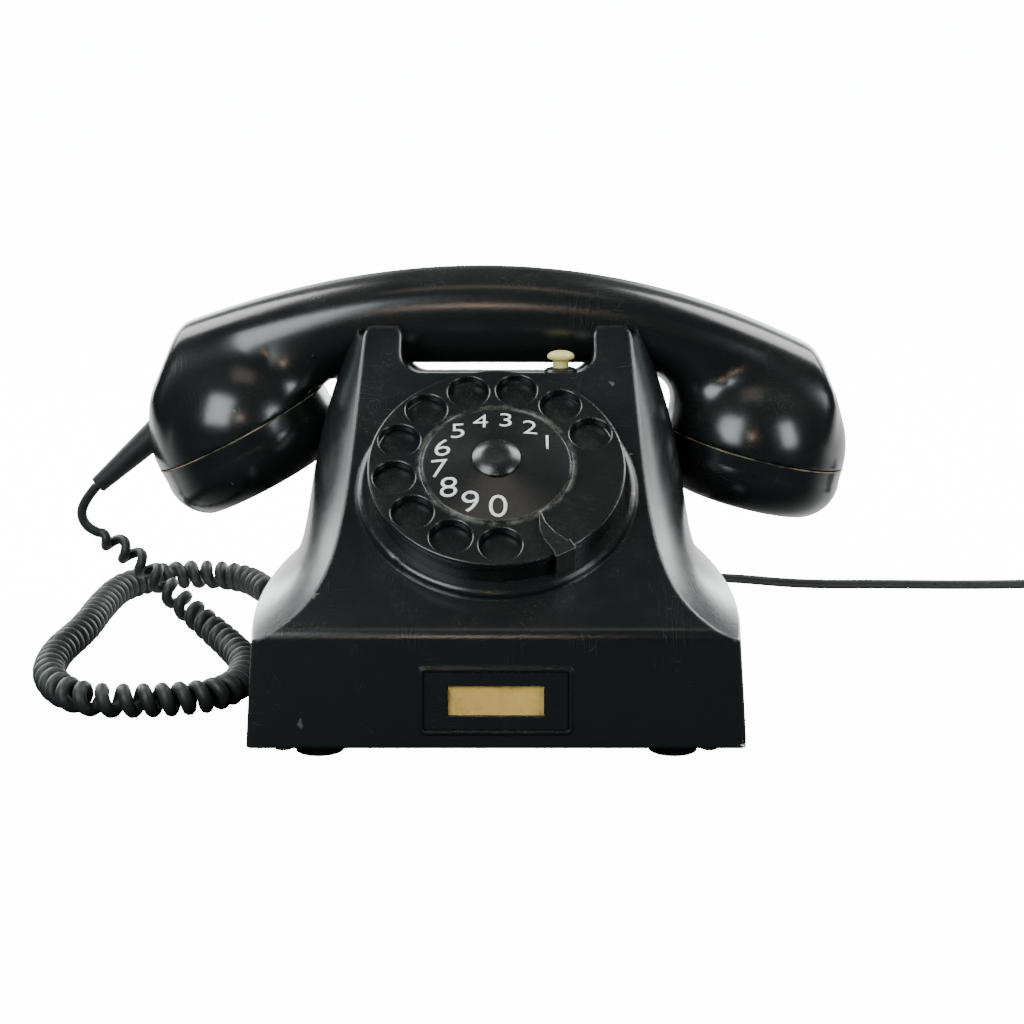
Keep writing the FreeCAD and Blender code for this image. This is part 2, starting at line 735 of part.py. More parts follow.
def card():
    """A black frame in the front wall, the paper card in it and a clear cover sheet."""
    upright = Rotation(Vector(1, 0, 0), 90)
    frame = plate("card_frame", S.frame_depth, [rectangle(S.frame_width / 2, S.frame_height / 2),
                                                rectangle(S.card_width / 2, S.card_height / 2)])
    put(frame, 0, FRONT + S.frame_depth, S.card_centre, upright)
    margin = 0.05
    size = rectangle(S.card_width / 2 - margin, S.card_height / 2 - margin)
    put(plate("number_card", 0.4, [size]), 0, FRONT + S.frame_depth, S.card_centre, upright)
    put(plate("card_window", 0.35, [size]), 0, FRONT + S.frame_depth - 0.5, S.card_centre, upright)


# ---------------------------------------------------------------- dial


def hole_angles():
    return [radians(S.first_hole) + i * radians(S.hole_pitch) for i in range(10)]


def finger_wheel_shape():
    """A thin disc with a raised conical middle, a groove round it and ten finger holes."""
    top = float(S.hole_level)
    under = top - float(S.wheel_thick)
    rim = float(S.wheel_radius)
    groove = float(S.disc_radius)
    seat = float(S.hub_radius) + 0.2
    raised = top + float(S.cone_rise)
    disc = solid_of_turn([(3.2, under), (rim - 0.7, under), (rim - 0.2, under + 0.2, rim, under + 0.7),
                          (rim, top - 0.7), (rim - 0.2, top - 0.2, rim - 0.7, top),
                          (groove + 0.5, top), (groove + 0.1, top - 0.45), (groove - 0.4, top + 0.1),
                          (seat, raised), (3.2, raised)])
    for angle in hole_angles():
        x = float(S.hole_circle) * math.cos(angle)
        y = float(S.hole_circle) * math.sin(angle)
        hole = Part.makeCylinder(float(S.hole_radius), 8, Vector(x, y, under - 2))
        disc = disc.cut(hole)
    rims = [e for e in disc.Edges
            if abs(e.Length - 2 * math.pi * float(S.hole_radius)) < 1e-3 and e.CenterOfMass.z > top - 0.1]
    return disc.makeFillet(0.6, rims)


def finger_stop_shape():
    """A curved blade over the wheel, bent down outside the rim to stand on the collar."""
    top = float(S.hole_level) + float(S.stop_gap)
    thick = float(S.stop_thick)
    reach = float(S.wheel_radius) / 40.0
    outline = [(13.3, -19.7), (13.0, -23.5), (13.2, -27.5), (14.6, -31.5), (17.2, -35.6), (17.9, -38.0),
               (23.6, -34.8), (21.4, -31.6), (17.6, -28.2), (15.0, -24.6)]
    wire = Part.makePolygon([Vector(x * reach, y * reach, top) for x, y in outline + outline[:1]])
    blade = Part.Face(wire).extrude(Vector(0, 0, thick))
    tab = block((float(S.wheel_radius) + 0.75, -3.2, float(S.collar_height)),
                (float(S.wheel_radius) + 0.75 + thick, 3.2, top + thick))
    bridge = block((float(S.wheel_radius) - 2.0, -3.2, top), (float(S.wheel_radius) + 0.8, 3.2, top + thick))
    tab = tab.fuse(bridge)
    tab.rotate(Vector(0, 0, 0), Vector(0, 0, 1), -59.5)
    return blade.fuse(tab).removeSplitter()


def gear_shape(radius, teeth, thickness, bore):
    """A flat gear with simple radial teeth, kept inside its pitch radius."""
    points = []
    for tooth in range(teeth):
        for part, depth in ((0.0, 0.0), (0.3, 0.0), (0.5, 1.0), (0.8, 1.0)):
            angle = 2 * math.pi * (tooth + part) / teeth
            reach = float(radius) - 0.2 - depth
            points.append(Vector(reach * math.cos(angle), reach * math.sin(angle), 0))
    gear = Part.Face(Part.makePolygon(points + points[:1])).extrude(Vector(0, 0, thickness))
    return gear.cut(Part.makeCylinder(bore, thickness * 3, Vector(0, 0, -thickness)))


def dial():
    feature("finger_wheel", finger_wheel_shape(), dial_frame())
    raised = S.hole_level + S.cone_rise
    hub = S.hub_radius
    cap = solid_of_turn([(0, raised), (hub, raised), (hub, raised + 0.7),
                         (hub * 0.62, raised + S.hub_rise * 0.86, 0.6, raised + S.hub_rise),
                         (0, raised + S.hub_rise)])
    feature("wheel_hub_cap", cap, dial_frame())
    under = S.hole_level - S.wheel_thick
    lid = under - S.case_gap
    case = turned("dial_case", [(S.shaft_radius + 0.4, lid - 1.6), (S.case_radius - 1.6, lid - 1.6),
                                (S.case_radius - 1.6, S.collar_height), (S.case_radius, S.collar_height),
                                (S.case_radius, lid - 0.5), (S.case_radius - 0.5, lid),
                                (S.shaft_radius + 0.4, lid)])
    case.Placement = dial_frame()
    feature("finger_stop", finger_stop_shape(), dial_frame())
    plate_level = -(S.wall + 2.0)
    reach = S.case_radius + 2.5
    outline = [(reach * math.cos(math.radians(a)), reach * math.sin(math.radians(a)))
               for a in range(140, 401, 20)]
    mount = plate("dial_plate", 1.6, [outline], [(0, 0, S.shaft_radius + 0.4)])
    mount.Placement = dial_frame(float(plate_level))
    shaft = cylinder("dial_shaft", S.shaft_radius, S.hole_level + S.cone_rise + 24.0, 0, 0, 0)
    shaft.Placement = dial_frame(-24.0)
    keep(shaft, "dial_shaft")
    bore = float(S.shaft_radius) + 0.02
    feature("main_gear", gear_shape(S.gear_radius, 40, 1.6, bore), dial_frame(-9.0))
    cam = gear_shape(9.0, 10, 1.4, bore)
    feature("impulse_cam", cam, dial_frame(-13.0))
    spring = turned("main_spring", [(4.0, 0), (8.5, 0), (8.5, 4.0), (4.0, 4.0)])
    spring.Placement = dial_frame(-20.0)
    governor()
    contact = block((9.6, -3, -13.2), (26, 3, -12.9)).fuse(block((20, -3, -14.6), (26, 3, -5.0)))
    feature("impulse_contact", contact, dial_frame())
    screws = []
    for angle in (20, 160, 270):
        reach = float(S.case_radius) - 1.2
        screw = Part.makeCylinder(2.2, 1.4).fuse(Part.makeCylinder(1.2, 5, Vector(0, 0, 1.4)))
        place = Placement(Vector(reach * math.cos(math.radians(angle)),
                                 reach * math.sin(math.radians(angle)), 0), Rotation())
        screw.Placement = place
        screws.append(screw)
    feature("dial_screws", Part.makeCompound(screws), dial_frame(float(plate_level) - 1.4))


def governor():
    """The speed governor's spindle beside the main gear, with its pinion and two weights."""
    spacing = float(S.gear_radius) + float(S.pinion_radius)
    place = Placement(Vector(-spacing, 0, 0), Rotation())
    spindle = gear_shape(S.pinion_radius, 10, 1.6, 0.5)
    spindle = spindle.fuse(Part.makeCylinder(1.0, 13.4, Vector(0, 0, -10)))
    for side in MIRRORED:
        spindle = spindle.fuse(block((side * 2.6 - 2, -2, -8), (side * 2.6 + 2, 2, -4)))
    feature("governor", spindle, dial_frame(-9.0) * place)
    cup = turned("governor_cup", [(6.4, 0), (7.6, 0), (7.6, 7.0), (6.4, 7.0)])
    cup.Placement = dial_frame(-18.6) * place


# ---------------------------------------------------------------- earth button and cradle switch


def button():
    """An ivory mushroom button between the horns; it pushes a spring under the deck."""
    x = S.button_side
    y = back(S.button_back)
    seat = S.button_top - 8.3
    rim = S.button_cap
    stem = S.button_stem
    cap = solid_of_turn([(0, -24), (1.6, -24), (1.6, -8.8), (stem, -8.8), (stem, -2.7),
                         (rim - 0.5, -2.7), (rim, -2.0, rim - 0.3, -1.0), (rim * 0.6, -0.2, 0.6, 0),
                         (0, 0)])
    feature("earth_button", cap, Placement(Vector(x, y, S.button_top), Rotation()))
    bore = stem + S.fit_gap
    collar = turned("button_collar", [(bore, 0), (S.button_collar, 0), (S.button_collar, 1.6),
                                      (S.button_collar - 0.6, 2.4), (bore + 0.3, 2.9), (bore, 2.9)])
    put(collar, x, y, seat)
    spring = turned("button_spring", [(1.9, 0), (2.6, 0), (2.6, 7.0), (1.9, 7.0)])
    put(spring, x, y, S.button_top - 16.2)


def cradle_switch():
    """Two plungers under the grip, joined by a yoke, on a spring; a lever works the contacts."""
    y = back(S.saddle_back)
    low = S.yoke_height
    rods = []
    for side in MIRRORED:
        name = "left" if side < 0 else "right"
        rods.append(cylinder(f"plunger_rod_{name}", S.plunger_radius, S.plunger_top - low - 3.0,
                             S.plunger_side * side, y, low + 3.0))
    bar = box("yoke_bar", S.plunger_side * 2 + 6.0, 5.0, 3.0, -(S.plunger_side + 3.0), y - 2.5, low)
    keep(bar, "hook_yoke")
    keep(grouped("hook_plungers", rods), "hook_plungers")
    spring = turned("hook_spring", [(2.4, 0), (3.4, 0), (3.4, 20.0), (2.4, 20.0)])
    put(spring, 0, y, low - 20.2)
    bracket = block((-8, -5, -1.6), (8, 5, 0)).fuse(block((-8, 4, -1.6), (8, 6, 18)))
    feature("hook_bracket", bracket, Placement(Vector(0, y, low - 20.4), Rotation()))
    lever = block((-2.5, -4, -1.2), (2.5, 20, 1.2)).fuse(rod(2.6, (-2.5, 0, 0), (2.5, 0, 0)))
    lever = lever.cut(rod(1.55, (-9, 0, 0), (9, 0, 0)))
    feature("hook_lever", lever, Placement(Vector(16.0, y - 19.0, low - 3.2), Rotation()))
    pin = cylinder("lever_pin", 1.5, 12.0, 10.0, y - 19.0, low - 3.2, Rotation(Vector(0, 1, 0), 90))
    keep(pin, "hook_lever_pin")
    stack = block((12.6, -34, -2.5), (19.4, -24, 2.5))
    for level in (-1.8, 0.0, 1.8):
        stack = stack.fuse(block((13.5, -26, level - 0.2), (18.5, -6.5, level + 0.2)))
    feature("hook_contacts", stack, Placement(Vector(0, y, low - 8.4), Rotation()))


# ---------------------------------------------------------------- ringer and circuit parts


def ringer():
    """Two gongs on posts, a hammer between them, and the two coils that drive it."""
    floor = S.wall_foot + 0.2 + S.plate_thick
    y = back(S.gong_back)
    rim = S.gong_radius
    high = S.gong_height
    posts = []
    coils = []
    for side in MIRRORED:
        name = "left" if side < 0 else "right"
        gong = solid_of_turn([(2.0, high - 1.2), (rim * 0.55, high - 2.6, rim - 1.2, 0), (rim, 0),
                              (rim * 0.6, high - 1.6, 2.0, high)])
        feature(f"gong_{name}", gong, Placement(Vector(S.gong_side * side, y, floor + 5.0), Rotation()))
        post = solid_of_turn([(0, 0), (3.2, 0), (3.2, high + 2.6), (1.8, high + 2.8),
                              (1.8, high + 7.0), (0, high + 7.0)])
        post.translate(Vector(S.gong_side * side, y, floor))
        posts.append(post)
        coil = solid_of_turn([(0, 0), (3.0, 0), (3.0, 1.0), (S.ringer_coil, 1.0),
                              (S.ringer_coil, 26.0), (3.0, 26.0), (3.0, 27.0), (0, 27.0)])
        coil.Placement = Placement(Vector(S.ringer_coil * side * 1.5, back(S.hammer_back) - 34.0, floor + 9.5),
                                   Rotation(Vector(1, 0, 0), -90))
        coils.append(coil)
    feature("gong_posts", Part.makeCompound(posts))
    feature("ringer_coils", Part.makeCompound(coils))
    reach = S.gong_back - S.hammer_back
    hammer = Part.makeSphere(3.0, Vector(0, reach, 0))
    hammer = hammer.fuse(rod(0.9, (0, 1.4, 0), (0, reach, 0)))
    hammer = hammer.fuse(block((-18, -3, -4), (18, 1.5, 4)))
    hammer = hammer.cut(rod(1.3, (0, 0, -9), (0, 0, 9)))
    feature("bell_hammer", hammer, Placement(Vector(0, back(S.hammer_back), floor + 9.5), Rotation()))
    pivot = cylinder("hammer_pivot", 1.2, 16.0, 0, back(S.hammer_back), floor)
    keep(pivot, "hammer_pivot")
    yoke = block((-20, -39, 0), (20, -36, 19))
    feature("ringer_yoke", yoke, Placement(Vector(0, back(S.hammer_back), floor), Rotation()))


def circuit_parts():
    """The induction coil, capacitor and terminal block that stand on the base plate."""
    floor = S.wall_foot + 0.2 + S.plate_thick
    coil = turned("induction_coil", [(0, 0), (9.5, 0), (9.5, 1.5), (8.0, 1.5), (8.0, 36.5), (9.5, 36.5),
                                     (9.5, 38.0), (0, 38.0)])
    put(coil, -19, back(25.0), floor + 9.6, Rotation(Vector(0, 1, 0), 90))
    keep(box("capacitor", 26.0, 44.0, 15.0, -62, back(28.0), floor), "capacitor")
    keep(box("terminal_block", 22.0, 40.0, 7.0, 36.0, back(30.0), floor), "terminal_block")
    screws = [cylinder(f"terminal_screw_{number + 1}", 2.2, 2.2, 47.0, back(35.0 + 10.0 * number), floor + 7.0)
              for number in range(4)]
    keep(grouped("terminal_screws", screws), "terminal_screws")


# ---------------------------------------------------------------- handset


def grip_section(across):
    """Top, bottom and half depth of the handset's bar at one place along it."""
    share = across / 108.0
    top = float(S.grip_top) - 23.2 * share ** 2 - 2.4 * share - 1.5 * share ** 3
    under = float(S.grip_top) - float(S.grip_height)
    fall = max(0.0, abs(across) - 38.0)
    bottom = under - fall ** 1.5 * 0.06
    half = float(S.grip_half) + (abs(across) / 110.0) ** 2 * 1.2
    return top, bottom, half


def bar_solid():
    """The curved bar: oval sections along the handset, lofted."""
    middle = float(back(S.saddle_back))
    sections = []
    for across in (-122, -104, -86, -66, -44, -22, 0, 22, 44, 66, 86, 104, 122):
        top, bottom, half = grip_section(float(across))
        tall = (top - bottom) / 2
        centre = Vector(across, middle, (top + bottom) / 2)
        sections.append(oval_wire(centre, half, tall))
    return Part.makeLoft(sections, True, False)


def oval_wire(centre, half, tall):
    """A closed oval with fuller corners than an ellipse, starting at the same place every time."""
    points = []
    for step in range(16):
        angle = 2 * math.pi * step / 16
        c, s = math.cos(angle), math.sin(angle)
        y = half * math.copysign(abs(c) ** 0.86, c)
        z = tall * math.copysign(abs(s) ** 0.86, s)
        points.append(centre + Vector(0, y, z))
    curve = Part.BSplineCurve()
    curve.interpolate(points, PeriodicFlag=True)
    return Part.Wire(curve.toShape())


def cup_frame(side, height, tilt, way):
    """A cup's frame: its Z points from the cap up through the dome."""
    place = Vector(float(side) * way, float(back(S.saddle_back)), float(height))
    return Placement(place, Rotation(Vector(0, 1, 0), float(tilt) * way))


def dome(radius):
    """The cup's outer shape above the seam: half a ball."""
    share = math.sqrt(0.5)
    return solid_of_turn([(0, 0), (radius, 0), (radius * share, radius * share, 0.6, radius), (0, radius)])


def cap_shape(radius, taper, deep, wall):
    """A screwed cap: a rounded shell with a slightly dished, pierced face."""
    low = -deep
    face = radius - taper
    outer = solid_of_turn([(0, 0), (radius, 0), (radius, low * 0.25), (radius - taper * 0.35, low * 0.72,
                           face - 2.5, low), (0, low + 1.2)])
    inner = Part.makeCylinder(face - wall, deep - 2 * wall, Vector(0, 0, low + wall + 1.2))
    shell = outer.cut(inner)
    holes = [Part.makeCylinder(1.1, 12, Vector(0, 0, low - 4))]
    for ring, count in ((6.0, 6), (12.0, 12)):
        for number in range(count):
            angle = 2 * math.pi * number / count
            place = Vector(ring * math.cos(angle), ring * math.sin(angle), low - 4)
            holes.append(Part.makeCylinder(1.1, 12, place))
    return shell.cut(holes)


def handset():
    radius = float(S.cup_radius)
    wall = float(S.handset_wall)
    cups = (("mouthpiece", cup_frame(S.mouth_side, S.mouth_height, S.mouth_tilt, -1), float(S.mouth_cap)),
            ("earpiece", cup_frame(S.ear_side, S.ear_height, S.ear_tilt, 1), float(S.ear_cap)))
    shell = trimmed(bar_solid())
    cutters = []
    for _, frame, _ in cups:
        top = dome(radius)
        top.Placement = frame
        shell = shell.fuse(top)
        under = Part.makeCylinder(radius + 3.0, 60.0, Vector(0, 0, -60.0))
        under.Placement = frame
        cutters.append(under)
        wide = radius - wall
        room = solid_of_turn([(0, -1), (wide, -1), (wide, 5.0), (wide - 5.0, 14.0), (0, 14.0)])
        room.Placement = frame
        cutters.append(room)
    shell = shell.cut(cutters)
    feature("handset_shell", shell)
    for name, frame, deep in cups:
        feature(f"{name}_cap", cap_shape(radius, float(S.cap_taper), deep, wall), frame)
        held = float(S.capsule_radius)
        capsule = solid_of_turn([(0, 1.0), (held, 1.0), (held, 8.0), (held - 5.0, 12.0), (0, 12.0)])
        feature(f"{name}_capsule", capsule, frame)
    boot()


def trimmed(bar):
    """Ends the bar with a slanted face at each end, and draws it in below that so the cup is round."""
    ends = []
    for way, top_at in ((-1, 110.0), (1, 107.4)):
        outline = [(way * top_at, 117.0), (way * (top_at + 30), 150.0), (way * 180, 150.0),
                   (way * 180, 30.0), (way * 96, 30.0), (way * 102, 62.0), (way * (top_at + 9.6), 88.0)]
        middle = float(back(S.saddle_back))
        wire = Part.makePolygon([Vector(x, middle - 60, z) for x, z in outline + outline[:1]])
        ends.append(Part.Face(wire).extrude(Vector(0, 120, 0)))
    return bar.cut(ends)


def boot():
    """The rubber sleeve where the cord leaves the mouthpiece end."""
    start = Vector(*world((-117.4, 129.0, 79.0)))
    end = Vector(*world(TAIL_TOP_ROUTE[0]))
    way = end - start
    way = way * (1 - 1.0 / way.Length)
    cone = Part.makeCone(5.2, 3.1, way.Length, start, way)
    feature("handset_cord_boot", cone)


# ---------------------------------------------------------------- build and export


def build():
    feature("housing", housing_shape())
    base()
    card()
    dial()
    button()
    cradle_switch()
    ringer()
    circuit_parts()
    handset()
    inlet_grommet("curl_grommet", CURL_INLET, CURL_INLET_WAY, CORD_HOLE, float(S.wire_diameter) / 2)
    inlet_grommet("line_grommet", LINE_INLET, LINE_INLET_WAY, CORD_HOLE, float(S.line_diameter) / 2)
    cords()


def check():
    doc.recompute()
    for thing in doc.Objects:
        if "Invalid" in thing.State or "Error" in thing.State:
            raise ValueError(f"{thing.Label} failed: {thing.State}")
    for node in nodes:
        shape = node.Shape
        if shape.isNull() or not shape.isValid() or shape.Volume <= 0:
            raise ValueError(f"{node.Label} has no valid shape")
        print(f"{node.Label:24s} solids {len(shape.Solids)} volume {shape.Volume:10.1f}")


def export():
    os.makedirs("parts", exist_ok=True)
    for node in nodes:
        node.Shape.exportStep(f"parts/{node.Label}.step")
    print(len(nodes), "nodes written")


build()
check()
export()
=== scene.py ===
import json
import math

import bmesh
import bpy
import numpy as np
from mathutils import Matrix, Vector


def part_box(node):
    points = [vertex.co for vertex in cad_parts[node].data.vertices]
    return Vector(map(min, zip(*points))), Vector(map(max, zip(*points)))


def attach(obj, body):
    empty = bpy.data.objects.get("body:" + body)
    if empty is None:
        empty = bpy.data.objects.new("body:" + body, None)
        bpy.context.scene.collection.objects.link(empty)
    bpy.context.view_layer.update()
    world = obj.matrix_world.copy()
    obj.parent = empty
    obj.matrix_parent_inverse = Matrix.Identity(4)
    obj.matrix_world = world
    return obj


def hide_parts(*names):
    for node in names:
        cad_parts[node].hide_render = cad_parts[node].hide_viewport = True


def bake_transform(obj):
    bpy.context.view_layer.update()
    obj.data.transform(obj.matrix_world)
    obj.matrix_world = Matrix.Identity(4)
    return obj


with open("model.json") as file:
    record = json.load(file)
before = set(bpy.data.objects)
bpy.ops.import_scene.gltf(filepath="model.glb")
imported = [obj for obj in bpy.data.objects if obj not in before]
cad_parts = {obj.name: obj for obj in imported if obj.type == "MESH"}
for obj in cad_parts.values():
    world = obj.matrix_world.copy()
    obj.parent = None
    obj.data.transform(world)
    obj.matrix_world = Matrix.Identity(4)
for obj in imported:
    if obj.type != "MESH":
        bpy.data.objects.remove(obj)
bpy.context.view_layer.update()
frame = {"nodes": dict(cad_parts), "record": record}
scene = bpy.context.scene
FRONT = -0.085          # the housing's front wall, from which the cord points are measured

# ---------------------------------------------------------------- camera
# A long lens a little above the telephone, looking at its front.
camera_data = bpy.data.cameras.new("camera")
camera_data.lens = 77.34
camera_data.sensor_width = 36.0
camera = bpy.data.objects.new("camera", camera_data)
camera.location = (0.0048, -0.714, 0.2173)
camera.rotation_euler = (math.radians(90 - 12.55), 0.0, 0.0)
scene.collection.objects.link(camera)
scene.camera = camera

# ---------------------------------------------------------------- cords: routes
# The same route points as the part's solids, in metres behind the front wall. Each route is one
# NURBS spline; the curly cord's wire winds round points read from its spline.
TAIL_TOP = [(-141.5, 129, 57.8), (-147.6, 130, 51.0), (-147.0, 130.6, 43.6), (-140.4, 131, 39.8)]
CURL = [(-127, 138, 27), (-114, 132, 15), (-96, 112, 7), (-83, 82, 6.1), (-86, 50, 6.1),
        (-108, 42.5, 6.1), (-134, 43, 6.1), (-148.5, 66, 6.1), (-152, 96, 6.1), (-147.5, 128, 6.1),
        (-147.5, 162, 6.1), (-144, 194, 6.1), (-122, 210, 6.1), (-99, 203, 6.1), (-87.5, 180, 6.1)]
TAIL_LOW = [(-83.5, 168, 7.0), (-80.6, 155.0, 12.0), (-73.4, 149.0, 12.8)]
LINE = [(42.4, 178.2, 11.5), (43.2, 189, 9.6), (48, 207, 3.4), (64, 220, 2.0), (90, 219, 1.9),
        (118, 208, 1.9), (148, 208.5, 1.9), (182, 207, 1.9), (216, 209, 1.9), (246, 222, 1.9)]


POINT_RADIUS = 0.002    # scales the bevel at each point, and Blender widens the curve's box by it


def spline(name, points, bevel=0.0):
    """One open NURBS spline of order 3 through its two end points."""
    curve = bpy.data.curves.new(name, "CURVE")
    curve.dimensions = "3D"
    curve.resolution_u = 12
    curve.bevel_depth = bevel / POINT_RADIUS
    curve.bevel_resolution = 4
    line = curve.splines.new("NURBS")
    line.points.add(len(points) - 1)
    for place, point in zip(line.points, points):
        place.co = (*point, 1.0)
        place.radius = POINT_RADIUS
    line.order_u = 3
    line.use_endpoint_u = True
    piece = bpy.data.objects.new(name, curve)
    scene.collection.objects.link(piece)
    return piece


def in_metres(points):
    return [(x / 1000, FRONT + y / 1000, z / 1000) for x, y, z in points]


def evenly(points, count):
    """count points the same distance apart along a line of points."""
    points = np.asarray(points, float)
    steps = np.r_[0.0, np.cumsum(np.linalg.norm(np.diff(points, axis=0), axis=1))]
    at = np.linspace(0.0, steps[-1], count)
    return np.column_stack([np.interp(at, steps, points[:, k]) for k in range(3)]), steps[-1]


# ---------------------------------------------------------------- handset cord
# A straight tail from the boot, a stretch wound into a spring whose turns open in two places,
# and a short tail into the grommet near the rear of the left side.
guide = spline("curl_guide", in_metres(TAIL_TOP + CURL + TAIL_LOW))
bpy.context.view_layer.update()
guide_mesh = bpy.data.meshes.new_from_object(guide)
guide_points = np.array([v.co for v in guide_mesh.vertices])
bpy.data.objects.remove(guide)
bpy.data.meshes.remove(guide_mesh)
base_line, base_length = evenly(guide_points, 3000)
run = np.linspace(0.0, base_length, len(base_line))

# pitch and winding radius along the route, in metres: opened turns near the handset and at the front
WOUND_FROM, WOUND_TO = 0.021, base_length - 0.030
pitch_at = np.array([0.0, 0.021, 0.035, 0.060, 0.085, 0.105, 0.150, 0.170, 0.190, 0.215, 0.240, 0.30, 0.36,
                     0.385, 0.40, 0.46])
pitch_of = np.array([8.2, 8.2, 8.0, 7.6, 5.9, 5.4, 5.4, 5.6, 7.4, 6.2, 5.3, 5.2, 5.2, 6.2, 5.2, 5.2]) / 1000
radius_at = np.array([0.0, 0.040, 0.075, 0.105, 0.20, 0.46])
radius_of = np.array([2.5, 2.8, 3.1, 3.35, 3.45, 3.35]) / 1000
pitch = np.interp(run, pitch_at, pitch_of)
swing = np.interp(run, radius_at, radius_of)
swing *= np.clip((run - WOUND_FROM) / 0.006, 0, 1) * np.clip((WOUND_TO - run) / 0.006, 0, 1)
turning = np.where((run > WOUND_FROM) & (run < WOUND_TO), 2 * np.pi / pitch, 0.0)
phase = np.r_[0.0, np.cumsum(turning[1:] * np.diff(run))]


def carried_frame(line):
    """Two unit normals along a line that turn with it and don't spin about it."""
    along = np.gradient(line, axis=0)
    along /= np.linalg.norm(along, axis=1)[:, None]
    first = np.cross(along[0], (0.0, 0.0, 1.0))
    first /= np.linalg.norm(first)
    normals = np.empty_like(line)
    for k, direction in enumerate(along):
        first = first - direction * first.dot(direction)
        first /= np.linalg.norm(first)
        normals[k] = first
    return normals, np.cross(along, normals)


def tube_mesh(name, line, radius, sides=12):
    """A round tube: ring k is line[k] + radius[k] (cos a · n + sin a · b), closed by a fan at each end."""
    first, second = carried_frame(line)
    turn = np.linspace(0.0, 2 * np.pi, sides, endpoint=False)
    rings = (line[:, None] + radius[:, None, None]
             * (np.cos(turn)[None, :, None] * first[:, None] + np.sin(turn)[None, :, None] * second[:, None]))
    count = len(line)
    here = np.arange(count - 1)[:, None] * sides + np.arange(sides)[None]
    there = np.arange(count - 1)[:, None] * sides + (np.arange(sides) + 1)[None] % sides
    quads = np.stack([here, there, there + sides, here + sides], axis=-1).reshape(-1, 4)
    faces = quads[:, ::-1].tolist()
    faces.append(list(range(sides)))
    faces.append([(count - 1) * sides + k for k in reversed(range(sides))])
    mesh = bpy.data.meshes.new(name)
    mesh.from_pydata(rings.reshape(-1, 3).tolist(), [], faces)
    mesh.shade_smooth()
    mesh.update()
    piece = bpy.data.objects.new(name, mesh)
    scene.collection.objects.link(piece)
    return piece


def outward(piece):
    """Turns every face of a closed mesh outwards."""
    work = bmesh.new()
    work.from_mesh(piece.data)
    bmesh.ops.recalc_face_normals(work, faces=work.faces)
    work.to_mesh(piece.data)
    work.free()


flat, up = carried_frame(base_line)
wire_line = base_line + swing[:, None] * (np.cos(phase)[:, None] * flat + np.sin(phase)[:, None] * up)
wire_line, wire_length = evenly(wire_line, 3400)
far = np.linspace(0.0, 1.0, len(wire_line))
wire_radius = np.interp(far, [0, 0.05, 0.12, 0.9, 1.0], [1.75, 1.9, 2.25, 2.25, 1.9]) / 1000
wire_line[:, 2] = np.maximum(wire_line[:, 2], wire_radius + 0.0001)
curly_cord = tube_mesh("curly_cord", wire_line, wire_radius, 10)
outward(curly_cord)
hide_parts("handset_cord_tail_top", "handset_cord_curl", "handset_cord_tail_low")
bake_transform(curly_cord)

# ---------------------------------------------------------------- line cord
# It leaves the rear on the right, lies along the table to the edge of the view, and its
# put-away length is wound into a neat coil held by a tie, with the plug beside it.
hank_low, hank_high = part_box("line_cord_hank")
hank_centre = (hank_low + hank_high) / 2
ring_out = (hank_high.x - hank_low.x) / 2
LINE_RADIUS = 0.0018
STEP = 2 * LINE_RADIUS
TURN_POINTS = 14


def coil_points(start_angle, layers):
    """Clockwise turns round the hank's centre: each layer is a list of radii at one height."""
    points = []
    angle = start_angle
    for height, radii in layers:
        for radius in radii:
            for _ in range(TURN_POINTS):
                across = hank_centre.x + radius * math.cos(angle)
                along = hank_centre.y + radius * math.sin(angle)
                points.append((across, along, height))
                angle -= 2 * math.pi / TURN_POINTS
    return points


outer = ring_out - LINE_RADIUS
layers = [(0.0024, [outer, outer - STEP, outer - 2 * STEP, outer - 3 * STEP]),
          (0.0055, [outer - 2.5 * STEP, outer - 1.5 * STEP, outer - 0.5 * STEP]),
          (0.0086, [outer - STEP, outer - 2 * STEP])]
line_points = in_metres(LINE)
touch = Vector(line_points[-1]) - hank_centre
turns = coil_points(math.atan2(touch.y, touch.x) - 0.3, layers)
plug_low, plug_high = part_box("line_plug_body")
plug_axis_z = (plug_low.z + plug_high.z) / 2
plug_y = (plug_low.y + plug_high.y) / 2
line_points += turns + [(plug_low.x - 0.004, plug_y, plug_axis_z), (plug_low.x + 0.004, plug_y, plug_axis_z)]
line_cord = spline("line_cord", line_points, LINE_RADIUS)
bpy.context.view_layer.update()
measure = line_cord.data.copy()
measure.bevel_depth = 0.0
measured = bpy.data.objects.new("measure", measure)
measured_mesh = bpy.data.meshes.new_from_object(measured)
bpy.data.meshes.remove(measured_mesh)
bpy.data.objects.remove(measured)
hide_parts("line_cord_run", "line_cord_hank")
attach(line_cord, "housing")

# The tie: a rubber band round the bundle, a closed strip 5.2 mm wide with a slightly thicker middle.
# Loop a, point k: centre + s (cos k · (w + b) · radial + sin k · (h + b) · up) + sideways, where
# s squares the loop off and b is the strip's thickness, 0 on the inside.
TIE_POINTS = 48
TIE_HALF_WIDTH = 0.0026
TIE_THICK = 0.0005
BUNDLE_MIDDLE = 0.00555
BUNDLE_HALF = 0.0050
around = np.linspace(0.0, 2 * np.pi, TIE_POINTS, endpoint=False)
across = np.linspace(-1.0, 1.0, 7)
tie_angle = math.radians(-62)
radial = np.array([math.cos(tie_angle), math.sin(tie_angle), 0.0])
sideways = np.array([-math.sin(tie_angle), math.cos(tie_angle), 0.0])
bundle = np.array([hank_centre.x, hank_centre.y, BUNDLE_MIDDLE]) + radial * (outer - 1.5 * STEP)
rounding = (np.abs(np.cos(around)) ** 4 + np.abs(np.sin(around)) ** 4) ** -0.25
loops = []
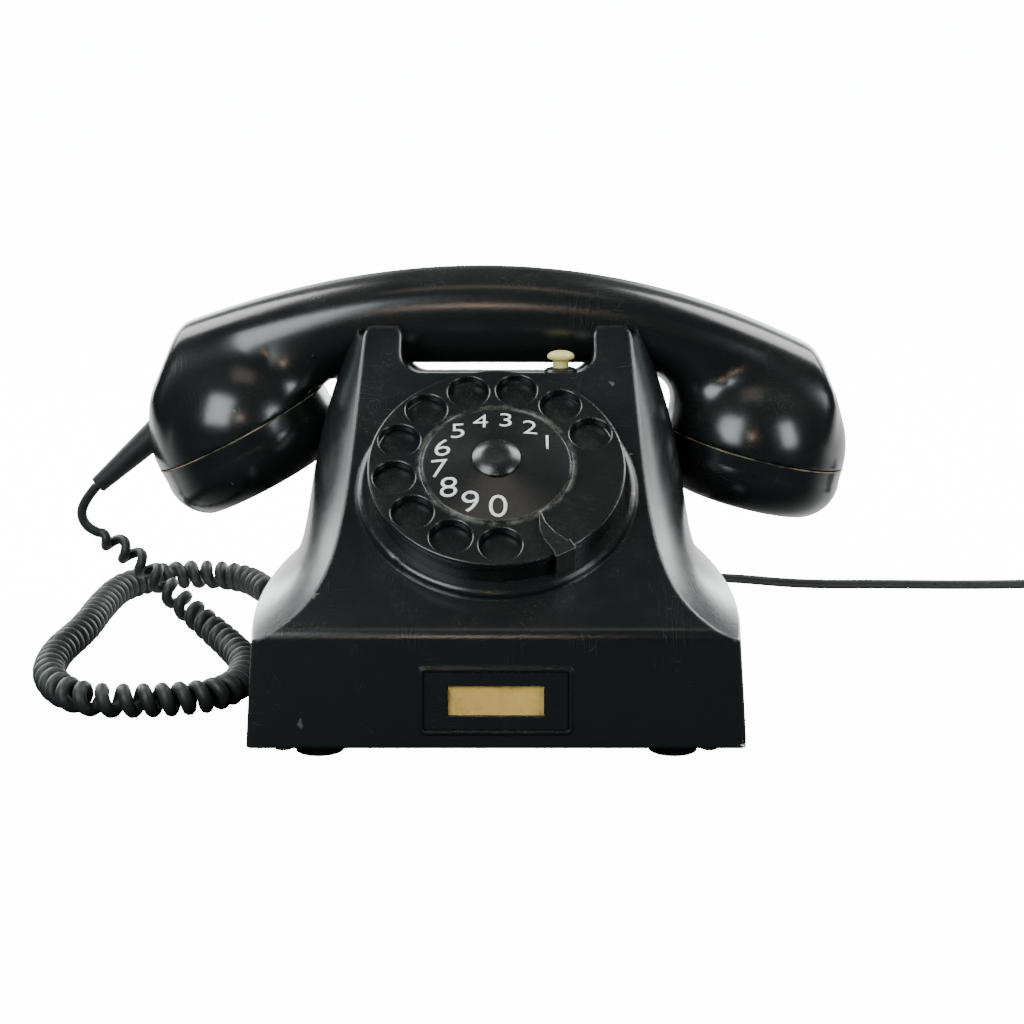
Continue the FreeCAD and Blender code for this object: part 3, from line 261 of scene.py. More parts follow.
for offset, places in ((0.0, across), (TIE_THICK, across[::-1])):
    for place in places:
        bulge = offset * (1 - 0.5 * place ** 2)
        wide = np.outer(rounding * np.cos(around) * (2 * STEP + 0.0001 + bulge), radial)
        high = np.outer(rounding * np.sin(around) * (BUNDLE_HALF + bulge), [0, 0, 1.0])
        loops.append(bundle + wide + high + sideways * place * TIE_HALF_WIDTH)
tie_faces = []
for a in range(len(loops)):
    this, following = a * TIE_POINTS, (a + 1) % len(loops) * TIE_POINTS
    for k in range(TIE_POINTS):
        after = (k + 1) % TIE_POINTS
        tie_faces.append((this + k, this + after, following + after, following + k))
tie_mesh = bpy.data.meshes.new("coil_tie")
tie_mesh.from_pydata(np.concatenate(loops).tolist(), [], tie_faces)
tie_mesh.shade_smooth()
coil_tie = bpy.data.objects.new("coil_tie", tie_mesh)
scene.collection.objects.link(coil_tie)
outward(coil_tie)
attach(coil_tie, "housing")

# ---------------------------------------------------------------- handset shell
# The CAD shell with soft blends: its skin is remeshed evenly, then every outer point moves onto
# the smooth union of the curved bar and the two balls of the cups. Lengths here are millimetres.
BAR_Y = FRONT * 1000 + 129.0
CUP_RADIUS = 32.2
CUPS = [(-89.6, 79.3, math.radians(-27.5)), (89.3, 72.8, math.radians(14.0))]
END_TOPS = [(-1.0, 110.0), (1.0, 107.4)]
OVAL = 2.33             # power of the bar's oval section


def soft_min(a, b, reach):
    """The smaller of two fields, rounded over reach where they cross."""
    share = np.clip(0.5 + 0.5 * (b - a) / reach, 0.0, 1.0)
    return b * (1 - share) + a * share - reach * share * (1 - share)


def bar_field(p):
    """Height above the bar's skin: a full oval section between two curves, cut slantwise at its ends.

    The section is |y / half|^OVAL + |z / tall|^OVAL = 1, half wide and tall high at this place.
    """
    share = p[:, 0] / 108.0
    top = 135.4 - 23.2 * share ** 2 - 2.4 * share - 1.5 * share ** 3
    bottom = 102.2 - 0.06 * np.maximum(0.0, np.abs(p[:, 0]) - 38.0) ** 1.5
    half = 17.4 + (p[:, 0] / 110.0) ** 2 * 1.2
    tall = (top - bottom) / 2
    wide = np.abs((p[:, 1] - BAR_Y) / half) ** OVAL
    high = np.abs((p[:, 2] - (top + bottom) / 2) / tall) ** OVAL
    oval = (wide + high) ** (1 / OVAL)
    skin = (oval - 1) * np.minimum(half, tall)
    for way, end in END_TOPS:
        slant = (p[:, 0] * way - end) * 0.949 + (p[:, 2] - 117.0) * 0.314
        under = (p[:, 0] * way - end - 9.6) * 0.828 - (p[:, 2] - 88.0) * 0.56
        skin = -soft_min(-skin, -slant, 3.5)
        skin = -soft_min(-skin, -under, 6.0)
    return skin


def handset_field(p):
    """The bar and both balls as one skin, blended more widely on the side that faces the housing."""
    skin = bar_field(p)
    for x, z, _ in CUPS:
        ball = np.sqrt((p[:, 0] - x) ** 2 + (p[:, 1] - BAR_Y) ** 2 + (p[:, 2] - z) ** 2) - CUP_RADIUS
        facing = np.clip((78.0 - np.abs(p[:, 0])) / 14.0, 0.0, 1.0)
        skin = soft_min(skin, ball, 6.0 + 9.0 * facing)
    return skin


SKIN_VOXEL = 0.0011
SLOPE_STEP = 0.05
ROUNDS = 5
ROOM_RISES = [0.0, 5.0, 14.0, 15.2]      # the room for the capsule: its radius at each height above the seam
ROOM_RADII = [30.4, 30.4, 25.4, 25.0]
source = frame["nodes"]["handset_shell"]
shell = bpy.data.objects.new("handset_body", source.data.copy())
scene.collection.objects.link(shell)
skin_modifier = shell.modifiers.new("even_skin", "REMESH")
skin_modifier.mode = "VOXEL"
skin_modifier.voxel_size = SKIN_VOXEL
bpy.context.view_layer.update()
shell_mesh = bpy.data.meshes.new_from_object(shell.evaluated_get(bpy.context.evaluated_depsgraph_get()))
shell.modifiers.clear()
shell.data = shell_mesh
points = np.zeros(len(shell_mesh.vertices) * 3)
shell_mesh.vertices.foreach_get("co", points)
points = points.reshape(-1, 3) * 1000
weight = np.ones(len(points))
for x, z, tilt in CUPS:
    axis = np.array([math.sin(tilt), 0.0, math.cos(tilt)])
    away = points - np.array([x, BAR_Y, z])
    rise = away @ axis
    around = np.linalg.norm(away - rise[:, None] * axis, axis=1)
    near = around < CUP_RADIUS + 6.0
    weight = np.where(near, weight * np.clip((rise - 0.8) / 3.0, 0.0, 1.0), weight)
    inner = (rise < ROOM_RISES[-1]) & (around < np.interp(rise, ROOM_RISES, ROOM_RADII))
    weight = np.where(inner, 0.0, weight)
moved = points.copy()
for _ in range(ROUNDS):
    height = handset_field(moved)
    slope = np.column_stack([(handset_field(moved + step) - height) / SLOPE_STEP
                             for step in np.eye(3) * SLOPE_STEP])
    length = np.maximum((slope ** 2).sum(1), 0.2)
    moved -= slope * (np.clip(height, -2.0, 2.0) / length)[:, None]
points += (moved - points) * weight[:, None]
shell_mesh.vertices.foreach_set("co", (points / 1000).ravel())
shell_mesh.shade_smooth()
shell_mesh.update()
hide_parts("handset_shell")
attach(shell, "handset")


def ring_mesh(name, centre, tilt, radius, thick, count=160, sides=8):
    """A thin ring: circle (radius cos a, radius sin a) in a plane tilted about Y, with a round section."""
    around = np.linspace(0.0, 2 * np.pi, count, endpoint=False)
    section = np.linspace(0.0, 2 * np.pi, sides, endpoint=False)
    reach = radius + thick * np.cos(section)[None, :]
    local = np.stack([reach * np.cos(around)[:, None], reach * np.sin(around)[:, None],
                      np.broadcast_to(thick * np.sin(section), (count, sides))], axis=-1).reshape(-1, 3)
    c, s = math.cos(tilt), math.sin(tilt)
    turned_points = np.column_stack([local[:, 0] * c + local[:, 2] * s, local[:, 1],
                                     -local[:, 0] * s + local[:, 2] * c]) + np.array(centre)
    here = np.arange(count)[:, None] * sides + np.arange(sides)[None]
    beside = np.arange(count)[:, None] * sides + (np.arange(sides) + 1)[None] % sides
    total = count * sides
    quads = np.stack([here, (here + sides) % total, (beside + sides) % total, beside], axis=-1).reshape(-1, 4)
    mesh = bpy.data.meshes.new(name)
    mesh.from_pydata((turned_points / 1000).tolist(), [], quads.tolist())
    mesh.shade_smooth()
    piece = bpy.data.objects.new(name, mesh)
    scene.collection.objects.link(piece)
    outward(piece)
    return piece


seams = []
for label, (x, z, tilt) in zip(("mouthpiece_seam", "earpiece_seam"), CUPS):
    seam = ring_mesh(label, (x, BAR_Y, z), tilt, CUP_RADIUS - 0.02, 0.22)
    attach(seam, "handset")
    seams.append(seam)

# ---------------------------------------------------------------- dial digits
# White painted figures on the cone of the finger wheel, each upright at rest and laid on its slope.
DIAL_TILT = math.radians(37.4)
dial_normal = Vector((0.0, -math.sin(DIAL_TILT), math.cos(DIAL_TILT)))
dial_up = Vector((0.0, math.cos(DIAL_TILT), math.sin(DIAL_TILT)))
dial_centre = Vector((0.0, FRONT + 0.038, 0.084)) - dial_normal * 0.012
FIGURES = [("1", 27.6, 0.0047), ("2", 54.2, 0.0048), ("3", 80.9, 0.0048), ("4", 106.5, 0.0048),
           ("5", 133.1, 0.0050), ("6", 160.5, 0.0053), ("7", 188.2, 0.0053), ("8", 214.9, 0.0056),
           ("9", 243.7, 0.0057), ("0", 271.9, 0.0058)]      # figure, angle in degrees, height
FIGURE_CIRCLE = 0.0178
FONT_SIZE = 1.92        # of the figure's height
FONT_THINNING = -0.00010
FIGURE_WIDENING = 1.18
PAINT_ABOVE = 0.00016
PAINT_BELOW = -0.00030


def cone_level(reach):
    """The wheel's face above the panel at this distance from its axis: groove edge 23.0, hub 7.7 mm."""
    return 0.0121 + 0.0024 * np.clip((0.0230 - reach) / 0.0153, 0.0, 1.0)


figures = []
for text, angle, height in FIGURES:
    glyph = bpy.data.curves.new("figure", "FONT")
    glyph.body = text
    glyph.size = height * FONT_SIZE
    glyph.offset = FONT_THINNING
    glyph.align_x = "CENTER"
    glyph.align_y = "CENTER"
    glyph.resolution_u = 6
    carrier = bpy.data.objects.new("figure", glyph)
    scene.collection.objects.link(carrier)
    bpy.context.view_layer.update()
    flat_mesh = bpy.data.meshes.new_from_object(carrier)
    bpy.data.objects.remove(carrier)
    work = bmesh.new()
    work.from_mesh(flat_mesh)
    bmesh.ops.remove_doubles(work, verts=work.verts, dist=1e-6)
    bmesh.ops.triangulate(work, faces=work.faces)
    bmesh.ops.subdivide_edges(work, edges=[e for e in work.edges if e.calc_length() > 0.0009], cuts=2)
    bmesh.ops.triangulate(work, faces=work.faces)
    grown = bmesh.ops.extrude_face_region(work, geom=list(work.faces))
    raised = {v for v in grown["geom"] if isinstance(v, bmesh.types.BMVert)}
    around = math.radians(angle)
    middle = Vector((FIGURE_CIRCLE * math.cos(around), FIGURE_CIRCLE * math.sin(around), 0))
    xs = [v.co.x for v in work.verts]
    ys = [v.co.y for v in work.verts]
    shift = Vector(((min(xs) + max(xs)) / 2, (min(ys) + max(ys)) / 2, 0))
    for v in work.verts:
        on_plane = v.co - shift
        on_plane.x *= FIGURE_WIDENING
        on_plane += middle
        level = float(cone_level(on_plane.length)) + (PAINT_ABOVE if v in raised else PAINT_BELOW)
        v.co = dial_centre + Vector((on_plane.x, 0, 0)) + dial_up * on_plane.y + dial_normal * level
    bmesh.ops.recalc_face_normals(work, faces=work.faces)
    work.to_mesh(flat_mesh)
    work.free()
    figure = bpy.data.objects.new("figure_" + text, flat_mesh)
    scene.collection.objects.link(figure)
    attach(figure, "finger_wheel")
    figures.append(figure)

# ---------------------------------------------------------------- finishes: shared effects
# Node groups with named inputs: dust that settles on surfaces facing up, fine broken scratches, a
# ring of dust round an axis, and wear along edges. Lengths are in the object's own metres.


def group(name, inputs, outputs):
    tree = bpy.data.node_groups.new(name, "ShaderNodeTree")
    for label, kind, value in inputs:
        socket = tree.interface.new_socket(label, in_out="INPUT", socket_type=kind)
        if value is not None:
            socket.default_value = value
    for label, kind in outputs:
        tree.interface.new_socket(label, in_out="OUTPUT", socket_type=kind)
    source = tree.nodes.new("NodeGroupInput")
    sink = tree.nodes.new("NodeGroupOutput")
    return tree, source.outputs, sink.inputs


def node(tree, kind, settings=None, **links):
    """A node with its properties set and its inputs linked or given a value; names use _ for spaces."""
    made = tree.nodes.new(kind)
    for key, value in (settings or {}).items():
        setattr(made, key, value)
    for key, value in links.items():
        numbered = key[0] == "i" and key[1:].isdigit()
        socket = made.inputs[int(key[1:]) if numbered else key.replace("_", " ")]
        if isinstance(value, bpy.types.NodeSocket):
            tree.links.new(value, socket)
        else:
            socket.default_value = value
    return made


def maths(tree, operation, first, second=0.5, clamp=False):
    settings = {"operation": operation, "use_clamp": clamp}
    return node(tree, "ShaderNodeMath", settings, i0=first, i1=second).outputs[0]


def band(tree, value, low, high, to_low=0.0, to_high=1.0):
    """to_low below low, to_high above high, smooth between."""
    return node(tree, "ShaderNodeMapRange", {"interpolation_type": "SMOOTHSTEP"}, Value=value,
                From_Min=low, From_Max=high, To_Min=to_low, To_Max=to_high).outputs["Result"]


def blend_colour(tree, factor, first, second):
    made = tree.nodes.new("ShaderNodeMix")
    made.data_type = "RGBA"
    for socket, value in ((made.inputs["Factor"], factor), (made.inputs[6], first), (made.inputs[7], second)):
        if isinstance(value, bpy.types.NodeSocket):
            tree.links.new(value, socket)
        else:
            socket.default_value = value
    return made.outputs[2]


def noise(tree, place, scale, detail=4.0, rough=0.55):
    made = node(tree, "ShaderNodeTexNoise", Vector=place, Scale=scale, Detail=detail, Roughness=rough)
    return made.outputs["Fac"]


dust_group, dust_in, dust_out = group(
    "settled dust", [("Amount", "NodeSocketFloat", 0.5), ("Grain", "NodeSocketFloat", 900.0)],
    [("Mask", "NodeSocketFloat")])
t = dust_group
place = node(t, "ShaderNodeTexCoord").outputs["Object"]
normal = node(t, "ShaderNodeNewGeometry").outputs["Normal"]
facing = node(t, "ShaderNodeSeparateXYZ", Vector=normal).outputs["Z"]
level = band(t, facing, 0.15, 1.0)
cloud = band(t, noise(t, place, 38.0), 0.35, 0.75)
grain = band(t, noise(t, place, dust_in["Grain"], 2.0), 0.45, 0.8)
speck = maths(t, "MULTIPLY", cloud, grain)
layer = maths(t, "MULTIPLY", maths(t, "ADD", speck, maths(t, "MULTIPLY", cloud, 0.35)), level)
t.links.new(maths(t, "MULTIPLY", layer, dust_in["Amount"], True), dust_out["Mask"])

scratch_group, scratch_in, scratch_out = group(
    "fine scratches", [("Amount", "NodeSocketFloat", 0.5), ("Density", "NodeSocketFloat", 60.0)],
    [("Mask", "NodeSocketFloat")])
t = scratch_group
place = node(t, "ShaderNodeTexCoord").outputs["Object"]
masks = []
for turn, stretch in (((0.3, 0.5, 0.2), (1.0, 1.0, 9.0)), ((0.9, 0.1, 1.2), (9.0, 1.0, 1.0))):
    turned = node(t, "ShaderNodeMapping", Vector=place, Rotation=turn, Scale=stretch).outputs[0]
    lines = node(t, "ShaderNodeTexVoronoi", {"feature": "DISTANCE_TO_EDGE"}, Vector=turned,
                 Scale=scratch_in["Density"]).outputs["Distance"]
    thin = maths(t, "SUBTRACT", 1.0, band(t, lines, 0.0, 0.012))
    part = band(t, noise(t, place, 47.0 + 9 * turn[0], 2.0), 0.58, 0.66)
    masks.append(maths(t, "MULTIPLY", thin, part))
both = maths(t, "MAXIMUM", *masks)
t.links.new(maths(t, "MULTIPLY", both, scratch_in["Amount"], True), scratch_out["Mask"])

ring_group, ring_in, ring_out = group(
    "ring of dust", [("Centre", "NodeSocketVector", (0.0, 0.0, 0.0)),
                     ("Axis", "NodeSocketVector", (0.0, 0.0, 1.0)),
                     ("Radius", "NodeSocketFloat", 0.02), ("Width", "NodeSocketFloat", 0.001),
                     ("Amount", "NodeSocketFloat", 0.0)],
    [("Mask", "NodeSocketFloat")])
t = ring_group
place = node(t, "ShaderNodeTexCoord").outputs["Object"]
away = node(t, "ShaderNodeVectorMath", {"operation": "SUBTRACT"}, i0=place, i1=ring_in["Centre"]).outputs[0]
crossed = {"operation": "CROSS_PRODUCT"}
turned = node(t, "ShaderNodeVectorMath", crossed, i0=away, i1=ring_in["Axis"]).outputs[0]
reach = node(t, "ShaderNodeVectorMath", {"operation": "LENGTH"}, i0=turned).outputs["Value"]
apart = maths(t, "ABSOLUTE", maths(t, "SUBTRACT", reach, ring_in["Radius"]))
near = maths(t, "SUBTRACT", 1.0, maths(t, "DIVIDE", apart, ring_in["Width"]), True)
broken = band(t, noise(t, place, 260.0, 4.0), 0.36, 0.66)
patches = maths(t, "MULTIPLY", near, broken)
t.links.new(maths(t, "MULTIPLY", patches, ring_in["Amount"], True), ring_out["Mask"])

wear_group, wear_in, wear_out = group(
    "worn edges", [("Radius", "NodeSocketFloat", 0.0006), ("Amount", "NodeSocketFloat", 0.5)],
    [("Mask", "NodeSocketFloat")])
t = wear_group
place = node(t, "ShaderNodeTexCoord").outputs["Object"]
softened = node(t, "ShaderNodeBevel", {"samples": 6}, Radius=wear_in["Radius"]).outputs["Normal"]
same = node(t, "ShaderNodeVectorMath", {"operation": "DOT_PRODUCT"}, i0=softened,
            i1=node(t, "ShaderNodeNewGeometry").outputs["Normal"]).outputs["Value"]
turning_edge = band(t, maths(t, "SUBTRACT", 1.0, same), 0.03, 0.16)
patchy = band(t, noise(t, place, 330.0, 3.0), 0.34, 0.56)
t.links.new(maths(t, "MULTIPLY", maths(t, "MULTIPLY", turning_edge, patchy), wear_in["Amount"], True),
            wear_out["Mask"])


def instance(tree, shared, **values):
    made = tree.nodes.new("ShaderNodeGroup")
    made.node_tree = shared
    for key, value in values.items():
        if isinstance(value, bpy.types.NodeSocket):
            tree.links.new(value, made.inputs[key])
        else:
            made.inputs[key].default_value = value
    return made.outputs


def finish(name):
    """A new material: its tree and its Principled shader."""
    made = bpy.data.materials.new(name)
    made.use_nodes = True
    return made, made.node_tree, made.node_tree.nodes["Principled BSDF"]


def wire(tree, shader, **values):
    for key, value in values.items():
        socket = shader.inputs[key.replace("_", " ")]
        if isinstance(value, bpy.types.NodeSocket):
            tree.links.new(value, socket)
        else:
            socket.default_value = value


# ---------------------------------------------------------------- stage and light
# A table that is white beside and behind the telephone and dark in front of it, under a room that
# is bright low down at the sides and dim above. Both look plain white to the camera itself.
WHITE = 14.0            # strength that the camera sees as white
TABLE_LEVEL = -0.0001
table_mesh = bpy.data.meshes.new("table")
table_corners = [(x, y, TABLE_LEVEL) for x, y in ((-3, -2), (3, -2), (3, 3), (-3, 3))]
table_mesh.from_pydata(table_corners, [], [(0, 1, 2, 3)])
table = bpy.data.objects.new("table", table_mesh)
scene.collection.objects.link(table)
table_paint, t, shader = finish("table")
place = node(t, "ShaderNodeTexCoord").outputs["Object"]
depth = node(t, "ShaderNodeSeparateXYZ", Vector=place).outputs["Y"]
to_camera = node(t, "ShaderNodeLightPath").outputs["Is Camera Ray"]
wire(t, shader, Roughness=0.9, Emission_Color=(1.0, 1.0, 1.0, 1),
     Base_Color=blend_colour(t, band(t, depth, -0.03, 0.13), (0.010, 0.012, 0.014, 1), (0.92, 0.92, 0.91, 1)),
     Emission_Strength=maths(t, "MULTIPLY", to_camera, WHITE))
table_mesh.materials.append(table_paint)

world = bpy.data.worlds.new("world")
scene.world = world
world.use_nodes = True
t = world.node_tree
aim = node(t, "ShaderNodeSeparateXYZ", Vector=node(t, "ShaderNodeTexCoord").outputs["Generated"]).outputs
low = band(t, aim["Z"], 0.50, 0.16, 0.04, 1.0)
sides = band(t, maths(t, "ABSOLUTE", aim["X"]), 0.08, 0.32, 0.25, 10.0)
behind = band(t, aim["Y"], 0.30, 0.85, 0.004, 1.0)
glow = maths(t, "MULTIPLY", maths(t, "MULTIPLY", sides, low), behind)
to_camera = node(t, "ShaderNodeLightPath").outputs["Is Camera Ray"]
wire(t, t.nodes["Background"], Color=(0.96, 1.0, 1.0, 1),
     Strength=maths(t, "MAXIMUM", glow, maths(t, "MULTIPLY", to_camera, WHITE)))


def soft_light(name, place, target, width, height, power, tint=(1.0, 1.0, 1.0)):
    data = bpy.data.lights.new(name, "AREA")
    data.shape = "RECTANGLE"
    data.size = width
    data.size_y = height
    data.energy = power
    data.color = tint
    light = bpy.data.objects.new(name, data)
    light.location = place
    light.rotation_euler = (Vector(target) - Vector(place)).to_track_quat("-Z", "Y").to_euler()
    scene.collection.objects.link(light)


# a soft box near on each side, a strip above the front, a small warm lamp over the camera, and
# two boxes above the rear that whiten the table
COOL = (0.90, 0.99, 1.0)
soft_light("near_left", (-0.33, -0.50, 0.40), (-0.05, -0.03, 0.09), 0.34, 0.40, 3.9, COOL)
soft_light("near_right", (0.55, -0.52, 0.33), (0.06, -0.02, 0.08), 0.22, 0.36, 2.3, COOL)
soft_light("over_front", (0.0, -0.34, 1.2), (0.0, -0.085, 0.03), 0.45, 0.14, 0.4, (1.0, 0.90, 0.78))
soft_light("lamp", (-0.03, -0.74, 0.37), (0.0, 0.0, 0.09), 0.07, 0.05, 0.30, (1.0, 0.76, 0.54))
soft_light("over_left", (-0.9, 0.55, 1.2), (-0.35, 0.25, 0.0), 0.8, 0.8, 22.0)
soft_light("over_right", (0.9, 0.55, 1.2), (0.35, 0.25, 0.0), 0.8, 0.8, 22.0)

# ---------------------------------------------------------------- finishes: moulded parts
# Black phenolic, satin on the housing and glossier on the handset, with dust, faint scratches,
# small nicks, mottled gloss, softly rounded edges and dust caught in the wheel's groove.
DUST = (0.30, 0.29, 0.25, 1)
SCRATCHED = (0.22, 0.21, 0.19, 1)
GROOVE_RADIUS = 0.0238
GROOVE_WIDTH = 0.0016


def bakelite(name, colour, tone, gloss_low, gloss_high, dust, scratch, edge, density=60.0, ring=0.0):
    made, t, shader = finish(name)
    place = node(t, "ShaderNodeTexCoord").outputs["Object"]
    mottle = noise(t, place, 26.0, 5.0, 0.6)
    fine = noise(t, place, 420.0, 3.0)
    settled = instance(t, dust_group, Amount=dust)["Mask"]
    lines = instance(t, scratch_group, Amount=scratch, Density=density)["Mask"]
    body = blend_colour(t, mottle, colour, tone)
    groove = instance(t, ring_group, Centre=tuple(dial_centre), Axis=tuple(dial_normal),
                      Radius=GROOVE_RADIUS, Width=GROOVE_WIDTH, Amount=ring)["Mask"]
    dusty = blend_colour(t, maths(t, "MAXIMUM", settled, groove), body, DUST)
    nicks = maths(t, "MULTIPLY", band(t, noise(t, place, 130.0, 2.0), 0.735, 0.755), scratch)
    marks = maths(t, "MAXIMUM", maths(t, "MULTIPLY", lines, 0.35), nicks)
    worn = blend_colour(t, marks, dusty, SCRATCHED)
    mixed = maths(t, "ADD", maths(t, "MULTIPLY", mottle, 0.7), maths(t, "MULTIPLY", fine, 0.3))
    gloss = node(t, "ShaderNodeMapRange", Value=mixed, To_Min=gloss_low, To_Max=gloss_high).outputs["Result"]
    rough = maths(t, "ADD", gloss, maths(t, "MULTIPLY", settled, 0.45), True)
    rounded = node(t, "ShaderNodeBevel", {"samples": 4}, Radius=edge).outputs["Normal"]
    relief = maths(t, "SUBTRACT", maths(t, "MULTIPLY", fine, 0.4), lines)
    bump = node(t, "ShaderNodeBump", Strength=0.12, Distance=0.0001, Height=relief, Normal=rounded)
    wire(t, shader, Base_Color=worn, Roughness=rough, IOR=1.58, Normal=bump.outputs["Normal"])
    return made


# colour, second colour, lowest and highest roughness, dust, scratches, edge, scratch density, groove
MOULDINGS = {
    "bakelite": ((0.0072, 0.0092, 0.0100, 1), (0.0110, 0.0132, 0.0140, 1), 0.14, 0.28, 0.06, 0.35, 0.0015),
    "bakelite_wheel": ((0.0050, 0.0064, 0.0066, 1), (0.0090, 0.0106, 0.0108, 1),
                       0.18, 0.30, 0.06, 0.10, 0.0005, 90.0, 0.35),
    "bakelite_handset": ((0.0070, 0.0086, 0.0090, 1), (0.0120, 0.0138, 0.0138, 1),
                         0.16, 0.30, 0.08, 0.20, 0.0010),
    "bakelite_cap": ((0.0062, 0.0078, 0.0082, 1), (0.0100, 0.0118, 0.0118, 1),
                     0.16, 0.28, 0.08, 0.35, 0.0006),
    "bakelite_trim": ((0.0060, 0.0076, 0.0082, 1), (0.0095, 0.0114, 0.0118, 1),
                      0.18, 0.36, 0.10, 0.3, 0.0004),
}
finishes = {name: bakelite(name, *values) for name, values in MOULDINGS.items()}

# ---------------------------------------------------------------- finishes: rubber, paper, ivory
# Dull rubber with a pale bloom, a stained yellowed card behind a thin clear window, and the ivory
# coloured button.


def rubber(name, colour, tone, bloom):
    made, t, shader = finish(name)
    place = node(t, "ShaderNodeTexCoord").outputs["Object"]
    cloud = noise(t, place, 60.0, 4.0)
    pore = noise(t, place, 1500.0, 2.0)
    settled = instance(t, dust_group, Amount=bloom, Grain=700.0)["Mask"]
    body = blend_colour(t, cloud, colour, tone)
    wire(t, shader, Base_Color=blend_colour(t, settled, body, DUST),
         Roughness=maths(t, "ADD", 0.40, maths(t, "MULTIPLY", cloud, 0.25)),
         Normal=node(t, "ShaderNodeBump", Strength=0.35, Distance=0.00008, Height=pore).outputs["Normal"])
    return made


finishes["cord_rubber"] = rubber("cord_rubber", (0.010, 0.013, 0.0125, 1), (0.018, 0.022, 0.021, 1), 0.18)
finishes["line_rubber"] = rubber("line_rubber", (0.008, 0.010, 0.010, 1), (0.014, 0.017, 0.016, 1), 0.12)
finishes["foot_rubber"] = rubber("foot_rubber", (0.008, 0.009, 0.009, 1), (0.014, 0.015, 0.014, 1), 0.1)

paper, t, shader = finish("paper")
place = node(t, "ShaderNodeTexCoord").outputs["Object"]
fibre = node(t, "ShaderNodeMapping", Vector=place, Scale=(1.0, 1.0, 3.5)).outputs[0]
stain = band(t, noise(t, place, 95.0, 5.0, 0.65), 0.48, 0.72)
tint = blend_colour(t, noise(t, fibre, 600.0, 3.0), (0.76, 0.47, 0.10, 1), (0.84, 0.58, 0.17, 1))
wire(t, shader, Base_Color=blend_colour(t, maths(t, "MULTIPLY", stain, 0.55), tint, (0.30, 0.16, 0.05, 1)),
     Roughness=0.75, Normal=node(t, "ShaderNodeBump", Strength=0.3, Distance=0.00006,
                                 Height=noise(t, fibre, 1800.0, 3.0)).outputs["Normal"])
finishes["paper"] = paper

ivory, t, shader = finish("ivory")
place = node(t, "ShaderNodeTexCoord").outputs["Object"]
grime = band(t, noise(t, place, 420.0, 4.0), 0.5, 0.75)
wire(t, shader, Base_Color=blend_colour(t, maths(t, "MULTIPLY", grime, 0.35), (0.80, 0.71, 0.26, 1),
                                        (0.40, 0.31, 0.10, 1)),
     Roughness=0.38, Subsurface_Weight=0.15, Subsurface_Scale=0.001,
     Normal=node(t, "ShaderNodeBevel", {"samples": 4}, Radius=0.0003).outputs["Normal"])
finishes["ivory"] = ivory

celluloid, t, shader = finish("celluloid")
place = node(t, "ShaderNodeTexCoord").outputs["Object"]
wire(t, shader, Base_Color=(0.98, 0.96, 0.88, 1), Transmission_Weight=1.0, IOR=1.2, Alpha=0.25,
     Roughness=node(t, "ShaderNodeMapRange", Value=noise(t, place, 200.0),
                    To_Min=0.08, To_Max=0.3).outputs[0])
finishes["celluloid"] = celluloid

# ---------------------------------------------------------------- finishes: metals and the works
# Tarnished zinc, steel and brass, worn black enamel, and the boards and windings of the works.


def metal(name, colour, tarnish, low, high, stretch=(1.0, 1.0, 1.0)):
    made, t, shader = finish(name)
    place = node(t, "ShaderNodeTexCoord").outputs["Object"]
    grained = node(t, "ShaderNodeMapping", Vector=place, Scale=stretch).outputs[0]
    grain = noise(t, grained, 900.0, 3.0)
    patch = band(t, noise(t, place, 150.0, 4.0), 0.42, 0.7)
    wire(t, shader, Metallic=1.0, Base_Color=blend_colour(t, patch, colour, tarnish),
         Roughness=node(t, "ShaderNodeMapRange", Value=grain, To_Min=low, To_Max=high).outputs[0],
         Normal=node(t, "ShaderNodeBump", Strength=0.2, Distance=0.00005, Height=grain).outputs["Normal"])
    return made


finishes["zinc"] = metal("zinc", (0.56, 0.56, 0.54, 1), (0.36, 0.35, 0.32, 1), 0.25, 0.5)
finishes["gong_steel"] = metal("gong_steel", (0.62, 0.62, 0.60, 1), (0.46, 0.45, 0.42, 1), 0.12, 0.3)
finishes["brass"] = metal("brass", (0.72, 0.55, 0.26, 1), (0.45, 0.32, 0.14, 1), 0.2, 0.45)
finishes["brass_screw"] = metal("brass_screw", (0.78, 0.72, 0.52, 1), (0.50, 0.42, 0.26, 1), 0.3, 0.6)


def enamel(name, colour, bare, amount):
    """Black enamel worn through to metal in small places."""
    made, t, shader = finish(name)
    place = node(t, "ShaderNodeTexCoord").outputs["Object"]
    spots = maths(t, "MULTIPLY", band(t, noise(t, place, 520.0, 5.0, 0.7), 0.66, 0.72), amount)
    chips = maths(t, "MAXIMUM", spots, instance(t, wear_group, Amount=amount)["Mask"])
    orange = noise(t, place, 700.0, 2.0)
    rounded = node(t, "ShaderNodeBevel", {"samples": 4}, Radius=0.0004).outputs["Normal"]
    wire(t, shader, Base_Color=blend_colour(t, chips, colour, bare), Metallic=chips,
         Roughness=node(t, "ShaderNodeMapRange", Value=orange, To_Min=0.22, To_Max=0.4).outputs[0],
         Normal=node(t, "ShaderNodeBump", Strength=0.2, Distance=0.00005, Height=orange,
                     Normal=rounded).outputs[0])
    return made


finishes["black_steel"] = enamel("black_steel", (0.010, 0.011, 0.011, 1), (0.35, 0.34, 0.32, 1), 0.8)
finishes["painted_steel"] = enamel("painted_steel", (0.016, 0.017, 0.017, 1), (0.30, 0.24, 0.18, 1), 0.6)

